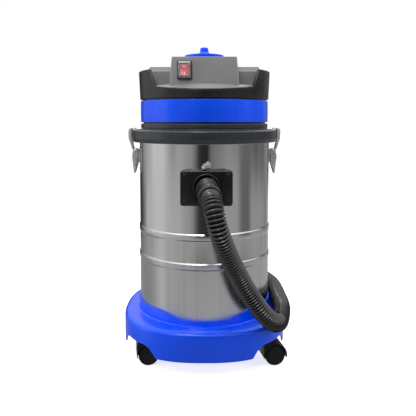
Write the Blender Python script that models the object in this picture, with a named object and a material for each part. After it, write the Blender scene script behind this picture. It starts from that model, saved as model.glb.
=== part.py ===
"""Wet and dry canister vacuum cleaner: a stainless barrel on a castered tray, with a motor head and a hose.

Metres, +Z up, front towards -Y. The origin is the centre of the footprint, on the floor.
Angles round the barrel start at the front and grow towards +X.
"""

import bisect
import math

import bmesh
import bpy
from mathutils import Matrix, Vector

# ---- driving dimensions -------------------------------------------------------------------------
GAP = 0.0003                # clearance between pieces that touch
FACETS = 48                 # steps round every large turned piece
HIDDEN_FACETS = 24          # steps round the turned pieces inside
SMALL_FACETS = 16           # steps round small turned pieces

BARREL_RADIUS = 0.155
BARREL_WALL = 0.0015
BARREL_BOTTOM = 0.090
BARREL_TOP = 0.5065
RIB_HEIGHTS = (0.234, 0.298)
RIB_DEPTH = 0.002
RIB_HALF = 0.0075

TRAY_HALF = 0.190           # half of the tray's width and of its depth
TRAY_SQUARENESS = 2.45      # 2 is a circle, more is squarer
TRAY_SHELF = 0.104
TRAY_SKIRT = 0.040
TRAY_WALL = 0.003
TRAY_FILLET = 0.010
COLLAR_RADIUS = 0.157
COLLAR_LOW = 0.117
COLLAR_HIGH = 0.130
ARCH_ANGLE = math.radians(48.75)

CASTER_X = 0.142
CASTER_Y = 0.0985
CASTER_TURN = math.radians(10)
CASTER_TRAIL = 0.014
WHEEL_RADIUS = 0.023
WHEEL_FACETS = 12
CASTER_HALF_WIDTH = 0.024
HOOD_TOP = 0.0615

FLANGE_RADIUS = 0.1724
FLANGE_BOTTOM = 0.500
FLANGE_TOP = 0.529
NECK_RADIUS = 0.1515
NECK_TOP = 0.5425
LIP_RADIUS = 0.1460
DECK_UNDER = 0.5105
DECK_TOP = 0.5140
BAND_RADIUS = 0.152
BAND_BOTTOM = 0.546
BAND_TOP = 0.596

COVER_BOTTOM = 0.599
COVER_RADIUS_LOW = 0.153
COVER_RADIUS_HIGH = 0.156
COVER_WALL = 0.0045
HANDLE_TOP = 0.664
HANDLE_INNER_X = 0.131
RIM_FRONT = 0.618
RIM_CORNER = 0.626
RIM_CORNER_ANGLE = math.radians(45)
HANDLE_ANGLE = math.radians(52.5)

BOX_TOP = 0.691
BOX_BOTTOM = 0.628
BOX_HALF_TOP = 0.0715
BOX_HALF_BOTTOM = 0.0765
BOX_FRONT_TOP = 0.1160
BOX_FRONT_BOTTOM = 0.1200
WING_HALF = 0.1275
WING_DEPTH = 0.060
WING_TOP = 0.6735

CAP_RADIUS = 0.0465
CAP_BOTTOM = BOX_TOP + GAP
CAP_RIM = 0.705
TOTAL_HEIGHT = 0.724

SWITCH_X = -0.0427
SWITCH_Z = 0.659
SWITCH_WIDTH = 0.032
SWITCH_HEIGHT = 0.0405
ROCKER_WIDTH = 0.0212
ROCKER_HEIGHT = 0.029
ROCKER_TILT = math.radians(8)

INLET_X = 0.0045
INLET_Z = 0.410
PLATE_WIDTH = 0.111
PLATE_LOW = 0.370
PLATE_HIGH = 0.4445
PLATE_FRONT = -0.170
SOCKET_RADIUS = 0.029
SOCKET_FRONT = -0.177

LATCH_PIN = Vector((0.1655, 0.0, 0.4765))
BAIL_PIN = Vector((0.1675, 0.0, 0.4645))
LATCH_HALF = 0.015
PLATE_THICKNESS = 0.0015

HOSE_RADIUS = 0.020
HOSE_SPACING = 0.036
END_STEP = 0.004            # length of the hose's first and last straight steps
HOSE_GAP = 0.0013           # between the hose's two ends and what they meet
CUFF_RADIUS = 0.024
CUFF_START = Vector((INLET_X, SOCKET_FRONT - GAP, INLET_Z))
CUFF_END = Vector((0.012, -0.237, 0.398))
COIL_CENTRE = Vector((0.0, 0.415, HOSE_RADIUS + GAP))
COIL_RADIUS = 0.170
COIL_START = math.radians(-105)
COIL_SWEEP = math.radians(255)
END_CUFF_LENGTH = 0.090
SHELF_REST = TRAY_SHELF + HOSE_RADIUS + 0.0005
HOSE_ROUTE = [
    (0.0120, -0.2370, 0.3980), (0.0151, -0.2618, 0.3930), (0.0190, -0.2815, 0.3755), (0.0265, -0.2860, 0.3450),
    (0.0365, -0.2740, 0.3150), (0.0500, -0.2520, 0.2800), (0.0670, -0.2290, 0.2430),
    (0.0880, -0.2100, 0.2020), (0.1120, -0.1970, 0.1630), (0.1340, -0.1810, 0.1340), (0.1510, -0.1640, 0.1175),
    (0.1630, -0.1450, 0.1120), (0.1705, -0.1230, 0.1180), (0.1755, -0.0980, 0.1235), (0.1780, -0.0680, SHELF_REST),
    (0.1785, -0.0200, SHELF_REST), (0.1785, 0.0300, SHELF_REST), (0.1760, 0.0760, SHELF_REST),
    (0.1660, 0.1160, SHELF_REST), (0.1460, 0.1540, 0.1275), (0.1180, 0.1860, 0.1260), (0.0840, 0.2120, 0.1060),
    (0.0520, 0.2310, 0.0700), (0.0220, 0.2410, 0.0400), (-0.0089, 0.2452, 0.0245), (-0.0266, 0.2471, 0.0211),
]


# ---- materials ----------------------------------------------------------------------------------
COLOURS = {
    "blue_plastic": ((0.015, 0.075, 0.80), 0.35, 0.0),
    "dark_plastic": ((0.030, 0.030, 0.034), 0.45, 0.0),
    "grey_plastic": ((0.16, 0.16, 0.155), 0.50, 0.0),
    "black_plastic": ((0.010, 0.010, 0.012), 0.45, 0.0),
    "hose_plastic": ((0.008, 0.008, 0.008), 0.40, 0.0),
    "stainless": ((0.62, 0.60, 0.57), 0.12, 1.0),
    "latch_steel": ((0.66, 0.66, 0.66), 0.25, 1.0),
    "rubber": ((0.015, 0.015, 0.015), 0.80, 0.0),
    "red_plastic": ((0.55, 0.015, 0.02), 0.30, 0.0),
    "clear_plastic": ((0.80, 0.82, 0.85), 0.10, 0.0),
    "motor_steel": ((0.35, 0.35, 0.36), 0.35, 1.0),
    "foam": ((0.05, 0.05, 0.055), 0.95, 0.0),
    "filter_cloth": ((0.72, 0.70, 0.64), 0.95, 0.0),
    "white_plastic": ((0.75, 0.75, 0.72), 0.40, 0.0),
}


def material_named(name):
    """The Principled material of this name, made on its first use."""
    found = bpy.data.materials.get(name)
    if found:
        return found
    colour, roughness, metallic = COLOURS[name]
    made = bpy.data.materials.new(name)
    made.use_nodes = True
    shader = made.node_tree.nodes["Principled BSDF"]
    shader.inputs["Base Color"].default_value = (*colour, 1.0)
    shader.inputs["Roughness"].default_value = roughness
    shader.inputs["Metallic"].default_value = metallic
    return made


# ---- modelling helpers --------------------------------------------------------------------------
def value_at(value, angle):
    """A plain number, or what a function of the angle gives."""
    return value(angle) if callable(value) else value


def ring(radius, height, facets=FACETS):
    """Points round +Z from the front, or one point where the radius is 0."""
    if radius == 0:
        return [(0.0, 0.0, height)]
    points = []
    for step in range(facets):
        angle = math.tau * step / facets
        reach = value_at(radius, angle)
        points.append((reach * math.sin(angle), -reach * math.cos(angle), value_at(height, angle)))
    return points


def lofted(rings, closed=False):
    """A closed skin through the rings; open ends are capped, and closed joins the last ring to the first."""
    bm = bmesh.new()
    loops = [[bm.verts.new(point) for point in points] for points in rings]
    pairs = list(zip(loops, loops[1:]))
    if closed:
        pairs.append((loops[-1], loops[0]))
    for low, high in pairs:
        count = max(len(low), len(high))
        for step in range(count):
            after = (step + 1) % count
            corners = [low[step % len(low)], low[after % len(low)], high[after % len(high)], high[step % len(high)]]
            bm.faces.new(list(dict.fromkeys(corners)))
    if not closed:
        for loop in (loops[0], loops[-1]):
            if len(loop) > 2:
                bm.faces.new(loop)
    bmesh.ops.recalc_face_normals(bm, faces=bm.faces)
    return bm


def turned(profile, facets=FACETS, closed=True):
    """A solid of revolution round +Z, from a profile of (radius, height) points."""
    return lofted([ring(radius, height, facets) for radius, height in profile], closed)


def prism(outline, low, high):
    """An outline in the XY plane, extruded along Z."""
    return lofted([[(x, y, low) for x, y in outline], [(x, y, high) for x, y in outline]])


def block(low, high):
    """A box from its lowest corner to its highest corner."""
    outline = [(low[0], low[1]), (high[0], low[1]), (high[0], high[1]), (low[0], high[1])]
    return prism(outline, low[2], high[2])


def joined(shapes):
    """One bmesh that holds each of these shapes as it is, for use as a cutter or an addition."""
    whole = bmesh.new()
    for shape, place in shapes:
        shape.transform(place)
        part = bpy.data.meshes.new("part")
        shape.to_mesh(part)
        shape.free()
        whole.from_mesh(part)
        bpy.data.meshes.remove(part)
    return whole


def arc(centre, radius, start, end, steps):
    """Points on a circle, from one angle to another, in degrees."""
    points = []
    for step in range(steps + 1):
        angle = math.radians(start + (end - start) * step / steps)
        points.append((centre[0] + radius * math.cos(angle), centre[1] + radius * math.sin(angle)))
    return points


def rounded_rectangle(half_width, half_height, radius, steps=2):
    """A rectangle's outline with round corners, about the origin."""
    points = []
    for turn, (sign_x, sign_y) in enumerate(((1, 1), (-1, 1), (-1, -1), (1, -1))):
        centre = (sign_x * (half_width - radius), sign_y * (half_height - radius))
        points += arc(centre, radius, 90 * turn, 90 * turn + 90, steps)
    return points


def solid(name, bm, material, place=None, parent=None):
    """An object that stands at a place, with its mesh in that place's own frame."""
    mesh = bpy.data.meshes.new(name)
    bm.to_mesh(mesh)
    bm.free()
    mesh.shade_smooth()
    mesh.set_sharp_from_angle(angle=math.radians(35))
    made = bpy.data.objects.new(name, mesh)
    bpy.context.scene.collection.objects.link(made)
    made.parent = parent
    made.matrix_local = place or Matrix.Identity(4)
    if material:
        mesh.materials.append(material_named(material))
    return made


def shape_with(target, name, bm, operation="DIFFERENCE", place=None):
    """Cuts a helper's shape out of the target, or adds it."""
    helper = solid(name, bm, None, place, target.parent)
    helper.hide_render = True
    helper.display_type = "WIRE"
    modifier = target.modifiers.new(name, "BOOLEAN")
    modifier.operation = operation
    modifier.solver = "EXACT"
    modifier.object = helper


def empty(name, place, parent=None):
    """A frame for pieces that move together."""
    made = bpy.data.objects.new(name, None)
    bpy.context.scene.collection.objects.link(made)
    made.parent = parent
    made.matrix_local = place
    return made


def moved(x, y, z):
    return Matrix.Translation((x, y, z))


def facing(direction, at=(0, 0, 0)):
    """A frame at a point whose +Z looks along the direction."""
    return Matrix.Translation(at) @ Vector(direction).to_track_quat("Z", "Y").to_matrix().to_4x4()


UPRIGHT = Matrix.Rotation(math.radians(90), 4, "X")      # lays an XY outline in the XZ plane


# ---- tray and casters ---------------------------------------------------------------------------
def tray_edge(inset):
    """The tray's outline, this far inside its widest line, as a function of the angle."""
    def reach(angle):
        total = abs(math.sin(angle)) ** TRAY_SQUARENESS + abs(math.cos(angle)) ** TRAY_SQUARENESS
        return TRAY_HALF / total ** (1 / TRAY_SQUARENESS) - inset
    return reach


def collar_top(angle):
    """The collar dips at the front and is level elsewhere."""
    from_front = min(angle, math.tau - angle)
    share = min(max((math.degrees(from_front) - 15) / 25, 0.0), 1.0)
    return COLLAR_LOW + (COLLAR_HIGH - COLLAR_LOW) * share * share * (3 - 2 * share)


def corners():
    """Name, sign of x and sign of y of each caster."""
    return (("front_left", -1, -1), ("front_right", 1, -1), ("rear_left", -1, 1), ("rear_right", 1, 1))


def arch_cutters():
    """The four openings in the skirt, over the casters."""
    side = [(0.0620, 0.030), (0.0600, 0.0400), (0.0555, 0.0445), (0.0510, 0.0510), (0.0450, 0.0570),
            (0.0350, 0.0625), (0.0260, 0.0645)]
    outline = side + [(-x, z) for x, z in reversed(side)]
    shapes = []
    for _, sign_x, sign_y in corners():
        turn = math.atan2(sign_x * math.sin(ARCH_ANGLE), -sign_y * math.cos(ARCH_ANGLE))
        outward = Matrix.Rotation(turn, 4, "Z")
        shapes.append((prism(outline, 0.150, 0.240), outward @ UPRIGHT))
    return joined(shapes)


def caster_posts(profile):
    """The same small turned shape at each caster's pivot."""
    return joined([(turned(profile, 8, closed=False), moved(x * CASTER_X, y * CASTER_Y, 0)) for _, x, y in corners()])


def make_tray():
    seat = BARREL_BOTTOM - GAP
    under = TRAY_SHELF - TRAY_WALL
    bend = TRAY_FILLET * (1 - math.sqrt(0.5))
    well = BARREL_RADIUS + GAP
    rings = [
        ring(0, seat),
        ring(well, seat),
        ring(well, collar_top),
        ring(COLLAR_RADIUS, collar_top),
        ring(COLLAR_RADIUS + 0.0005, TRAY_SHELF + 0.002),
        ring(COLLAR_RADIUS + 0.003, TRAY_SHELF),
        ring(tray_edge(TRAY_FILLET), TRAY_SHELF),
        ring(tray_edge(bend), TRAY_SHELF - bend),
        ring(tray_edge(0), TRAY_SHELF - TRAY_FILLET),
        ring(tray_edge(0), TRAY_SKIRT),
        ring(tray_edge(TRAY_WALL), TRAY_SKIRT),
        ring(tray_edge(TRAY_WALL), TRAY_SHELF - TRAY_FILLET),
        ring(tray_edge(TRAY_FILLET), under),
        ring(well + TRAY_WALL, under),
        ring(well + TRAY_WALL, seat - TRAY_WALL),
        ring(0, seat - TRAY_WALL),
    ]
    tray = solid("base_tray", lofted(rings), "blue_plastic")
    shape_with(tray, "arches", arch_cutters())
    boss = [(0, 0.066), (0.009, 0.066), (0.009, 0.092), (0.0045, 0.1025), (0, 0.1025)]
    shape_with(tray, "caster_bosses", caster_posts(boss), "UNION")
    bore = [(0, 0.060), (0.0060, 0.060), (0.0060, 0.0945), (0, 0.0945)]
    shape_with(tray, "caster_bores", caster_posts(bore))


def hood_outline():
    """Side view of a caster's hood, with x along its trail and y upwards."""
    axle = (CASTER_TRAIL, WHEEL_RADIUS)
    outer = arc(axle, 0.0275, 0, 62, 3)
    front = [(0.0125, 0.0560), (0.0085, HOOD_TOP), (-0.0085, HOOD_TOP), (-0.0100, 0.0540), (-0.0125, 0.0440)]
    return [(CASTER_TRAIL + 0.0275, 0.018)] + outer + front + [(-0.0125, 0.018)]


def make_hood(name, frame):
    hood = solid(f"{name}_hood", prism(hood_outline(), -CASTER_HALF_WIDTH, CASTER_HALF_WIDTH), "black_plastic",
                 UPRIGHT.copy(), frame)
    clearance = 0.0245
    axle = (CASTER_TRAIL, WHEEL_RADIUS)
    hollow = [(CASTER_TRAIL - clearance, 0.0)] + arc(axle, clearance, 180, 0, 7) + [(CASTER_TRAIL + clearance, 0.0)]
    cheeks = [(prism(hollow, 0.0045, 0.030), Matrix.Identity(4)), (prism(hollow, -0.030, -0.0045), Matrix.Identity(4))]
    shape_with(hood, f"{name}_wheel_spaces", joined(cheeks), place=UPRIGHT.copy())
    web_base = block((-0.030, -0.010, -0.010), (0.030 + CASTER_TRAIL, 0.010, 0.012))
    shape_with(hood, f"{name}_web_base", web_base)
    bores = joined([
        (turned([(0, 0.040), (0.0044, 0.040), (0.0044, 0.070), (0, 0.070)], 8, closed=False), Matrix.Identity(4)),
        (turned([(0, -0.010), (0.0036, -0.010), (0.0036, 0.010), (0, 0.010)], 8, closed=False),
         moved(CASTER_TRAIL, 0, WHEEL_RADIUS) @ UPRIGHT),
    ])
    shape_with(hood, f"{name}_bores", bores)


def make_casters():
    stem = [(0, 0.0405), (0.0038, 0.0405), (0.0038, HOOD_TOP + GAP), (0.0078, HOOD_TOP + GAP), (0.0078, 0.0642),
            (0.0052, 0.0642), (0.0052, 0.0940), (0, 0.0940)]
    axle = [(0, -0.0225), (0.003, -0.0225), (0.003, 0.0225), (0, 0.0225)]
    wheel = [(0, 0.0228), (0.0033, 0.0228), (0.0033, 0.0050), (0.0222, 0.0050), (WHEEL_RADIUS, 0.0070),
             (WHEEL_RADIUS, 0.0212), (0.0205, CASTER_HALF_WIDTH), (0, CASTER_HALF_WIDTH)]
    for corner, sign_x, sign_y in corners():
        name = f"caster_{corner}"
        place = moved(sign_x * CASTER_X, sign_y * CASTER_Y, 0) @ Matrix.Rotation(CASTER_TURN, 4, "Z")
        frame = empty(f"{name}_swivel", place)
        solid(f"{name}_stem", turned(stem, 8, closed=False), "latch_steel", None, frame)
        make_hood(name, frame)
        centre = moved(CASTER_TRAIL, 0, WHEEL_RADIUS)
        solid(f"{name}_axle", turned(axle, 8, closed=False), "latch_steel", centre @ UPRIGHT, frame)
        outward = centre @ UPRIGHT
        inward = centre @ Matrix.Rotation(math.radians(-90), 4, "X")
        solid(f"{name}_wheel_outer", turned(wheel, WHEEL_FACETS, closed=False), "black_plastic", outward, frame)
        solid(f"{name}_wheel_inner", turned(wheel, WHEEL_FACETS, closed=False), "black_plastic", inward, frame)


# ---- barrel -------------------------------------------------------------------------------------
def make_barrel():
    """The rolled wall, open at both ends, on a separate pressed bottom."""
    rim = BARREL_RADIUS + 0.002
    inside = BARREL_RADIUS - BARREL_WALL
    seam = BARREL_BOTTOM + BARREL_WALL + GAP
    profile = [(BARREL_RADIUS, seam)]
    for height in RIB_HEIGHTS:
        profile.append((BARREL_RADIUS, height - RIB_HALF))
        profile.append((BARREL_RADIUS + RIB_DEPTH, height))
        profile.append((BARREL_RADIUS, height + RIB_HALF))
    profile += [(BARREL_RADIUS, BARREL_TOP - 0.008), (rim, BARREL_TOP - 0.006), (rim, BARREL_TOP),
                (inside, BARREL_TOP), (inside, seam)]
    barrel = solid("barrel", turned(profile), "stainless")
    hole = turned([(0, 0.130), (0.0278, 0.130), (0.0278, 0.170), (0, 0.170)], 24, closed=False)
    shape_with(barrel, "inlet_hole", hole, place=facing((0, -1, 0), (INLET_X, 0, INLET_Z)))
    bottom = [(0, BARREL_BOTTOM), (BARREL_RADIUS - 0.001, BARREL_BOTTOM), (BARREL_RADIUS, BARREL_BOTTOM + 0.001),
              (BARREL_RADIUS, BARREL_BOTTOM + BARREL_WALL), (0, BARREL_BOTTOM + BARREL_WALL)]
    solid("barrel_bottom", turned(bottom, closed=False), "stainless")


# ---- inlet and hose -----------------------------------------------------------------------------
def make_inlet():
    middle = (PLATE_LOW + PLATE_HIGH) / 2
    face = moved(INLET_X, 0, middle) @ UPRIGHT
    outline = rounded_rectangle(PLATE_WIDTH / 2, (PLATE_HIGH - PLATE_LOW) / 2, 0.006)
    front_outline = rounded_rectangle(PLATE_WIDTH / 2 - 0.0015, (PLATE_HIGH - PLATE_LOW) / 2 - 0.0015, 0.005)
    rings = [[(x, y, 0.135) for x, y in outline], [(x, y, -PLATE_FRONT - 0.0015) for x, y in outline],
             [(x, y, -PLATE_FRONT) for x, y in front_outline]]
    plate = solid("inlet_plate", lofted(rings), "black_plastic", face)
    lug = block((-0.0065, -0.1640, PLATE_HIGH - 0.003), (0.0035, -0.1560, PLATE_HIGH + 0.0085))
    shape_with(plate, "lock_tab_lug", lug, "UNION")
    around = turned([(0, 0.30), (BARREL_RADIUS + GAP, 0.30), (BARREL_RADIUS + GAP, 0.47), (0, 0.47)], closed=False)
    shape_with(plate, "barrel_clearance", around)
    bore = turned([(0, 0.100), (0.0278, 0.100), (0.0278, 0.200), (0, 0.200)], 24, closed=False)
    shape_with(plate, "socket_bore", bore, place=facing((0, -1, 0), (INLET_X, 0, INLET_Z)))

    tube = [(0.0235, 0.1400), (0.0273, 0.1400), (0.0273, -PLATE_FRONT + GAP), (SOCKET_RADIUS, -PLATE_FRONT + GAP),
            (SOCKET_RADIUS, -SOCKET_FRONT), (0.0235, -SOCKET_FRONT)]
    solid("inlet_socket", turned(tube, HIDDEN_FACETS), "black_plastic", facing((0, -1, 0), (INLET_X, 0, INLET_Z)))

    scoop = solid("inlet_deflector", block((-0.034, -0.1480, 0.376), (0.038, -0.1250, 0.444)), "black_plastic")
    shape_with(scoop, "deflector_hollow", block((-0.050, -0.160, 0.379), (0.035, -0.1275, 0.441)))

    pivot = moved(-0.0015, -0.1658, PLATE_HIGH + 0.0055)
    tab_outline = [(-0.004, -0.0035), (0.0150, -0.0030), (0.0175, 0.0020), (0.0160, 0.0075), (0.0020, 0.0060),
                   (-0.004, 0.0035)]
    tilt = Matrix.Rotation(math.radians(-18), 4, "Y")
    solid("inlet_lock_tab", prism(tab_outline, -0.0015, 0.0015), "latch_steel", pivot @ tilt @ UPRIGHT)


def smooth_route(points, spacing):
    """Evenly spaced points along a smooth curve through these points, and one close to each end, to square it."""
    knots = [Vector(point) for point in points]
    knots = [2 * knots[0] - knots[1], *knots, 2 * knots[-1] - knots[-2]]
    dense = []
    for a, b, c, d in zip(knots, knots[1:], knots[2:], knots[3:]):
        for step in range(20):
            t = step / 20
            dense.append(0.5 * (2 * b + (c - a) * t + (2 * a - 5 * b + 4 * c - d) * t * t
                                + (3 * b - a - 3 * c + d) * t ** 3))
    dense.append(knots[-2])
    walked = [0.0]
    for before, after in zip(dense, dense[1:]):
        walked.append(walked[-1] + (after - before).length)
    steps = round(walked[-1] / spacing)
    even = [walked[-1] * step / steps for step in range(1, steps)]
    stations = [0.0, END_STEP, *even, walked[-1] - END_STEP, walked[-1]]
    kept = []
    for station in stations:
        index = min(max(bisect.bisect_left(walked, station), 1), len(dense) - 1)
        share = (station - walked[index - 1]) / (walked[index] - walked[index - 1])
        kept.append(dense[index - 1].lerp(dense[index], share))
    return kept


def coil_point(angle):
    return COIL_CENTRE + COIL_RADIUS * Vector((math.cos(angle), math.sin(angle), 0))


def make_hose():
    along = (CUFF_END - CUFF_START).normalized()
    length = (CUFF_END - CUFF_START).length - HOSE_GAP
    spigot = [(0.0150, -0.018), (0.0195, -0.018), (0.0195, 0.0058), (CUFF_RADIUS, 0.0075), (CUFF_RADIUS, 0.030),
              (0.0232, 0.034), (CUFF_RADIUS, length - 0.003), (0.0225, length), (0.0150, length)]
    solid("hose_cuff_inlet", turned(spigot, SMALL_FACETS), "hose_plastic", facing(along, CUFF_START))

    route = smooth_route(HOSE_ROUTE + [tuple(coil_point(COIL_START))], HOSE_SPACING)
    curve = bpy.data.curves.new("hose", "CURVE")
    curve.dimensions = "3D"
    curve.bevel_depth = HOSE_RADIUS
    curve.bevel_resolution = 2
    curve.use_fill_caps = True
    spline = curve.splines.new("POLY")
    spline.points.add(len(route) - 1)
    for point, place in zip(spline.points, route):
        point.co = (*place, 1.0)
    hose = bpy.data.objects.new("hose", curve)
    bpy.context.scene.collection.objects.link(hose)
    curve.materials.append(material_named("hose_plastic"))

    section = arc((COIL_RADIUS, 0), HOSE_RADIUS, 0, 360, 8)[:-1]
    clear = HOSE_GAP / COIL_RADIUS
    steps = 26
    rings = []
    for step in range(steps + 1):
        angle = COIL_START - clear - (COIL_SWEEP - clear) * step / steps
        rings.append([(x * math.cos(angle), x * math.sin(angle), z) for x, z in section])
    solid("hose_coil", lofted(rings), "hose_plastic", Matrix.Translation(COIL_CENTRE))

    last = COIL_START - COIL_SWEEP
    heading = Vector((math.sin(last), -math.cos(last), 0))
    cuff = [(0.0150, 0.0), (0.0225, 0.0), (CUFF_RADIUS, 0.003), (CUFF_RADIUS, 0.045), (0.0215, 0.052),
            (0.0200, END_CUFF_LENGTH), (0.0150, END_CUFF_LENGTH)]
    lift = Vector((0, 0, CUFF_RADIUS - HOSE_RADIUS))
    start = coil_point(last) + heading * (GAP + 0.0002) + lift
    solid("hose_end_cuff", turned(cuff, SMALL_FACETS), "hose_plastic", facing(heading, start))


# ---- head ---------------------------------------------------------------------------------------
def make_lid():
    seal = [(0.1515, BARREL_TOP + GAP), (0.1570, BARREL_TOP + GAP), (0.1570, DECK_UNDER - GAP),
            (0.1515, DECK_UNDER - GAP)]
    solid("barrel_seal", turned(seal, HIDDEN_FACETS), "rubber")
    profile = [
        (0.070, DECK_UNDER),
        (0.159, DECK_UNDER),
        (0.159, FLANGE_BOTTOM),
        (0.162, FLANGE_BOTTOM),
        (0.162, FLANGE_TOP - 0.0035),
        (0.169, FLANGE_TOP - 0.0035),
        (0.169, FLANGE_BOTTOM + 0.002),
        (FLANGE_RADIUS - 0.0022, FLANGE_BOTTOM + 0.002),
        (FLANGE_RADIUS, FLANGE_BOTTOM + 0.008),
        (FLANGE_RADIUS, FLANGE_TOP - 0.005),
        (FLANGE_RADIUS - 0.004, FLANGE_TOP),
        (NECK_RADIUS, FLANGE_TOP),
        (NECK_RADIUS, NECK_TOP),
        (LIP_RADIUS, NECK_TOP),
        (LIP_RADIUS, BAND_BOTTOM - GAP),
        (LIP_RADIUS - 0.0035, BAND_BOTTOM - GAP),
        (LIP_RADIUS - 0.0035, DECK_TOP),
        (0.070, DECK_TOP),
    ]
    solid("head_base", turned(profile), "dark_plastic")
    flange, wall = BAND_RADIUS - 0.0090, BAND_RADIUS - 0.0030
    band = [(BAND_RADIUS, BAND_BOTTOM), (BAND_RADIUS, BAND_TOP), (flange, BAND_TOP), (flange, BAND_TOP - 0.003),
            (wall, BAND_TOP - 0.003), (wall, BAND_BOTTOM + 0.003), (flange, BAND_BOTTOM + 0.003),
            (flange, BAND_BOTTOM)]
    solid("blue_band", turned(band), "blue_plastic")


def rim_height(angle):
    """The cover's top edge: low at the front and back, and high along both handles."""
    across = abs(math.sin(angle))
    from_axis = math.asin(min(across, 1.0))
    if from_axis >= HANDLE_ANGLE - 1e-6:
        return HANDLE_TOP
    share = (1 - math.cos(from_axis)) / (1 - math.cos(RIM_CORNER_ANGLE))
    return RIM_FRONT + (RIM_CORNER - RIM_FRONT) * min(share, 1.0)


def cover_outer(height):
    """The cover's outer radius flares slightly upwards."""
    share = (height - COVER_BOTTOM) / (HANDLE_TOP - COVER_BOTTOM)
    return COVER_RADIUS_LOW + (COVER_RADIUS_HIGH - COVER_RADIUS_LOW) * share


def cover_inner(angle):
    """Round at the front and back, and flat along both handles."""
    return min(COVER_RADIUS_LOW - COVER_WALL, HANDLE_INNER_X / max(abs(math.sin(angle)), 1e-6))


def make_cover():
    lip = BAND_TOP + GAP
    rings = [
        ring(LIP_RADIUS, lip),
        ring(LIP_RADIUS, COVER_BOTTOM),
        ring(COVER_RADIUS_LOW, COVER_BOTTOM),
        ring(lambda angle: cover_outer(rim_height(angle) - 0.0015), lambda angle: rim_height(angle) - 0.0015),
        ring(lambda angle: cover_outer(rim_height(angle)) - 0.0015, rim_height),
        ring(cover_inner, rim_height),
        ring(cover_inner, 0.603),
        ring(lambda angle: cover_inner(angle) - 0.004, 0.603),
        ring(lambda angle: cover_inner(angle) - 0.004, lip),
    ]
    solid("head_cover", lofted(rings, closed=True), "dark_plastic")


def box_ring(half_width, half_depth, height, radius=0.006):
    return [(x, y, height) for x, y in rounded_rectangle(half_width, half_depth, radius)]


def ledge_radius(angle):
    return cover_inner(angle) - GAP - 0.0002


def make_motor_cover():
    """Ledge, wings and switch box in one moulding, open underneath."""
    edge_height = lambda angle: min(rim_height(angle), RIM_CORNER) - 0.0005
    plate = 0.003
    rings = [
        ring(0, 0.6325),
        ring(0.100, 0.6320),
        ring(lambda angle: ledge_radius(angle) - 0.0145, 0.6290),
        ring(ledge_radius, edge_height),
        ring(ledge_radius, lambda angle: edge_height(angle) - plate),
        ring(lambda angle: ledge_radius(angle) - 0.0145, 0.6290 - plate),
        ring(0.100, 0.6320 - plate),
        ring(0, 0.6325 - plate),
    ]
    cover = solid("motor_cover", lofted(rings), "grey_plastic")
    low = 0.6265
    flare = (BOX_HALF_BOTTOM - BOX_HALF_TOP) / (BOX_TOP - BOX_BOTTOM)
    box = lofted([
        box_ring(BOX_HALF_BOTTOM, BOX_FRONT_BOTTOM, low),
        box_ring(BOX_HALF_TOP + 0.0015 * flare, BOX_FRONT_TOP, BOX_TOP - 0.0015),
        box_ring(BOX_HALF_TOP - 0.0012, BOX_FRONT_TOP - 0.0012, BOX_TOP, 0.005),
    ])
    wings = lofted([
        box_ring(WING_HALF, WING_DEPTH, low),
        box_ring(WING_HALF - 0.0005, WING_DEPTH - 0.002, WING_TOP - 0.0115),
        box_ring(WING_HALF - 0.0010, WING_DEPTH - 0.012, WING_TOP, 0.004),
    ])
    shape_with(cover, "switch_box", box, "UNION")
    shape_with(cover, "wings", wings, "UNION")
    hollow_box = lofted([
        box_ring(BOX_HALF_BOTTOM - 0.003, BOX_FRONT_BOTTOM - 0.003, 0.610),
        box_ring(BOX_HALF_TOP - 0.003, BOX_FRONT_TOP - 0.003, BOX_TOP - 0.003),
    ])
    hollow_wings = lofted([
        box_ring(WING_HALF - 0.003, WING_DEPTH - 0.003, 0.610),
        box_ring(WING_HALF - 0.0040, WING_DEPTH - 0.015, WING_TOP - 0.003),
    ])
    shape_with(cover, "box_hollow", hollow_box)
    shape_with(cover, "wing_hollow", hollow_wings)
    opening = block((-0.0140, -0.0165, -0.020), (0.0140, 0.0165, 0.010))
    shape_with(cover, "switch_opening", opening, place=switch_frame())
    gland_hole = turned([(0, -0.02), (0.0083, -0.02), (0.0083, 0.02), (0, 0.02)], 16, closed=False)
    shape_with(cover, "gland_hole", gland_hole, place=gland_frame())


def switch_frame():
    """A frame on the switch box's sloping front: X to the right, Y up the face, Z out of it."""
    slope = (BOX_FRONT_BOTTOM - BOX_FRONT_TOP) / (BOX_TOP - BOX_BOTTOM)
    front = BOX_FRONT_BOTTOM - slope * (SWITCH_Z - BOX_BOTTOM)
    lean = math.atan(slope)
    return moved(SWITCH_X, -front, SWITCH_Z) @ Matrix.Rotation(math.radians(90) - lean, 4, "X")


def gland_frame():
    slope = (BOX_FRONT_BOTTOM - BOX_FRONT_TOP) / (BOX_TOP - BOX_BOTTOM)
    lean = math.atan(slope)
    return moved(0.040, BOX_FRONT_BOTTOM - slope * 0.022, BOX_BOTTOM + 0.022) @ Matrix.Rotation(
        math.radians(-90) + lean, 4, "X")


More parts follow.
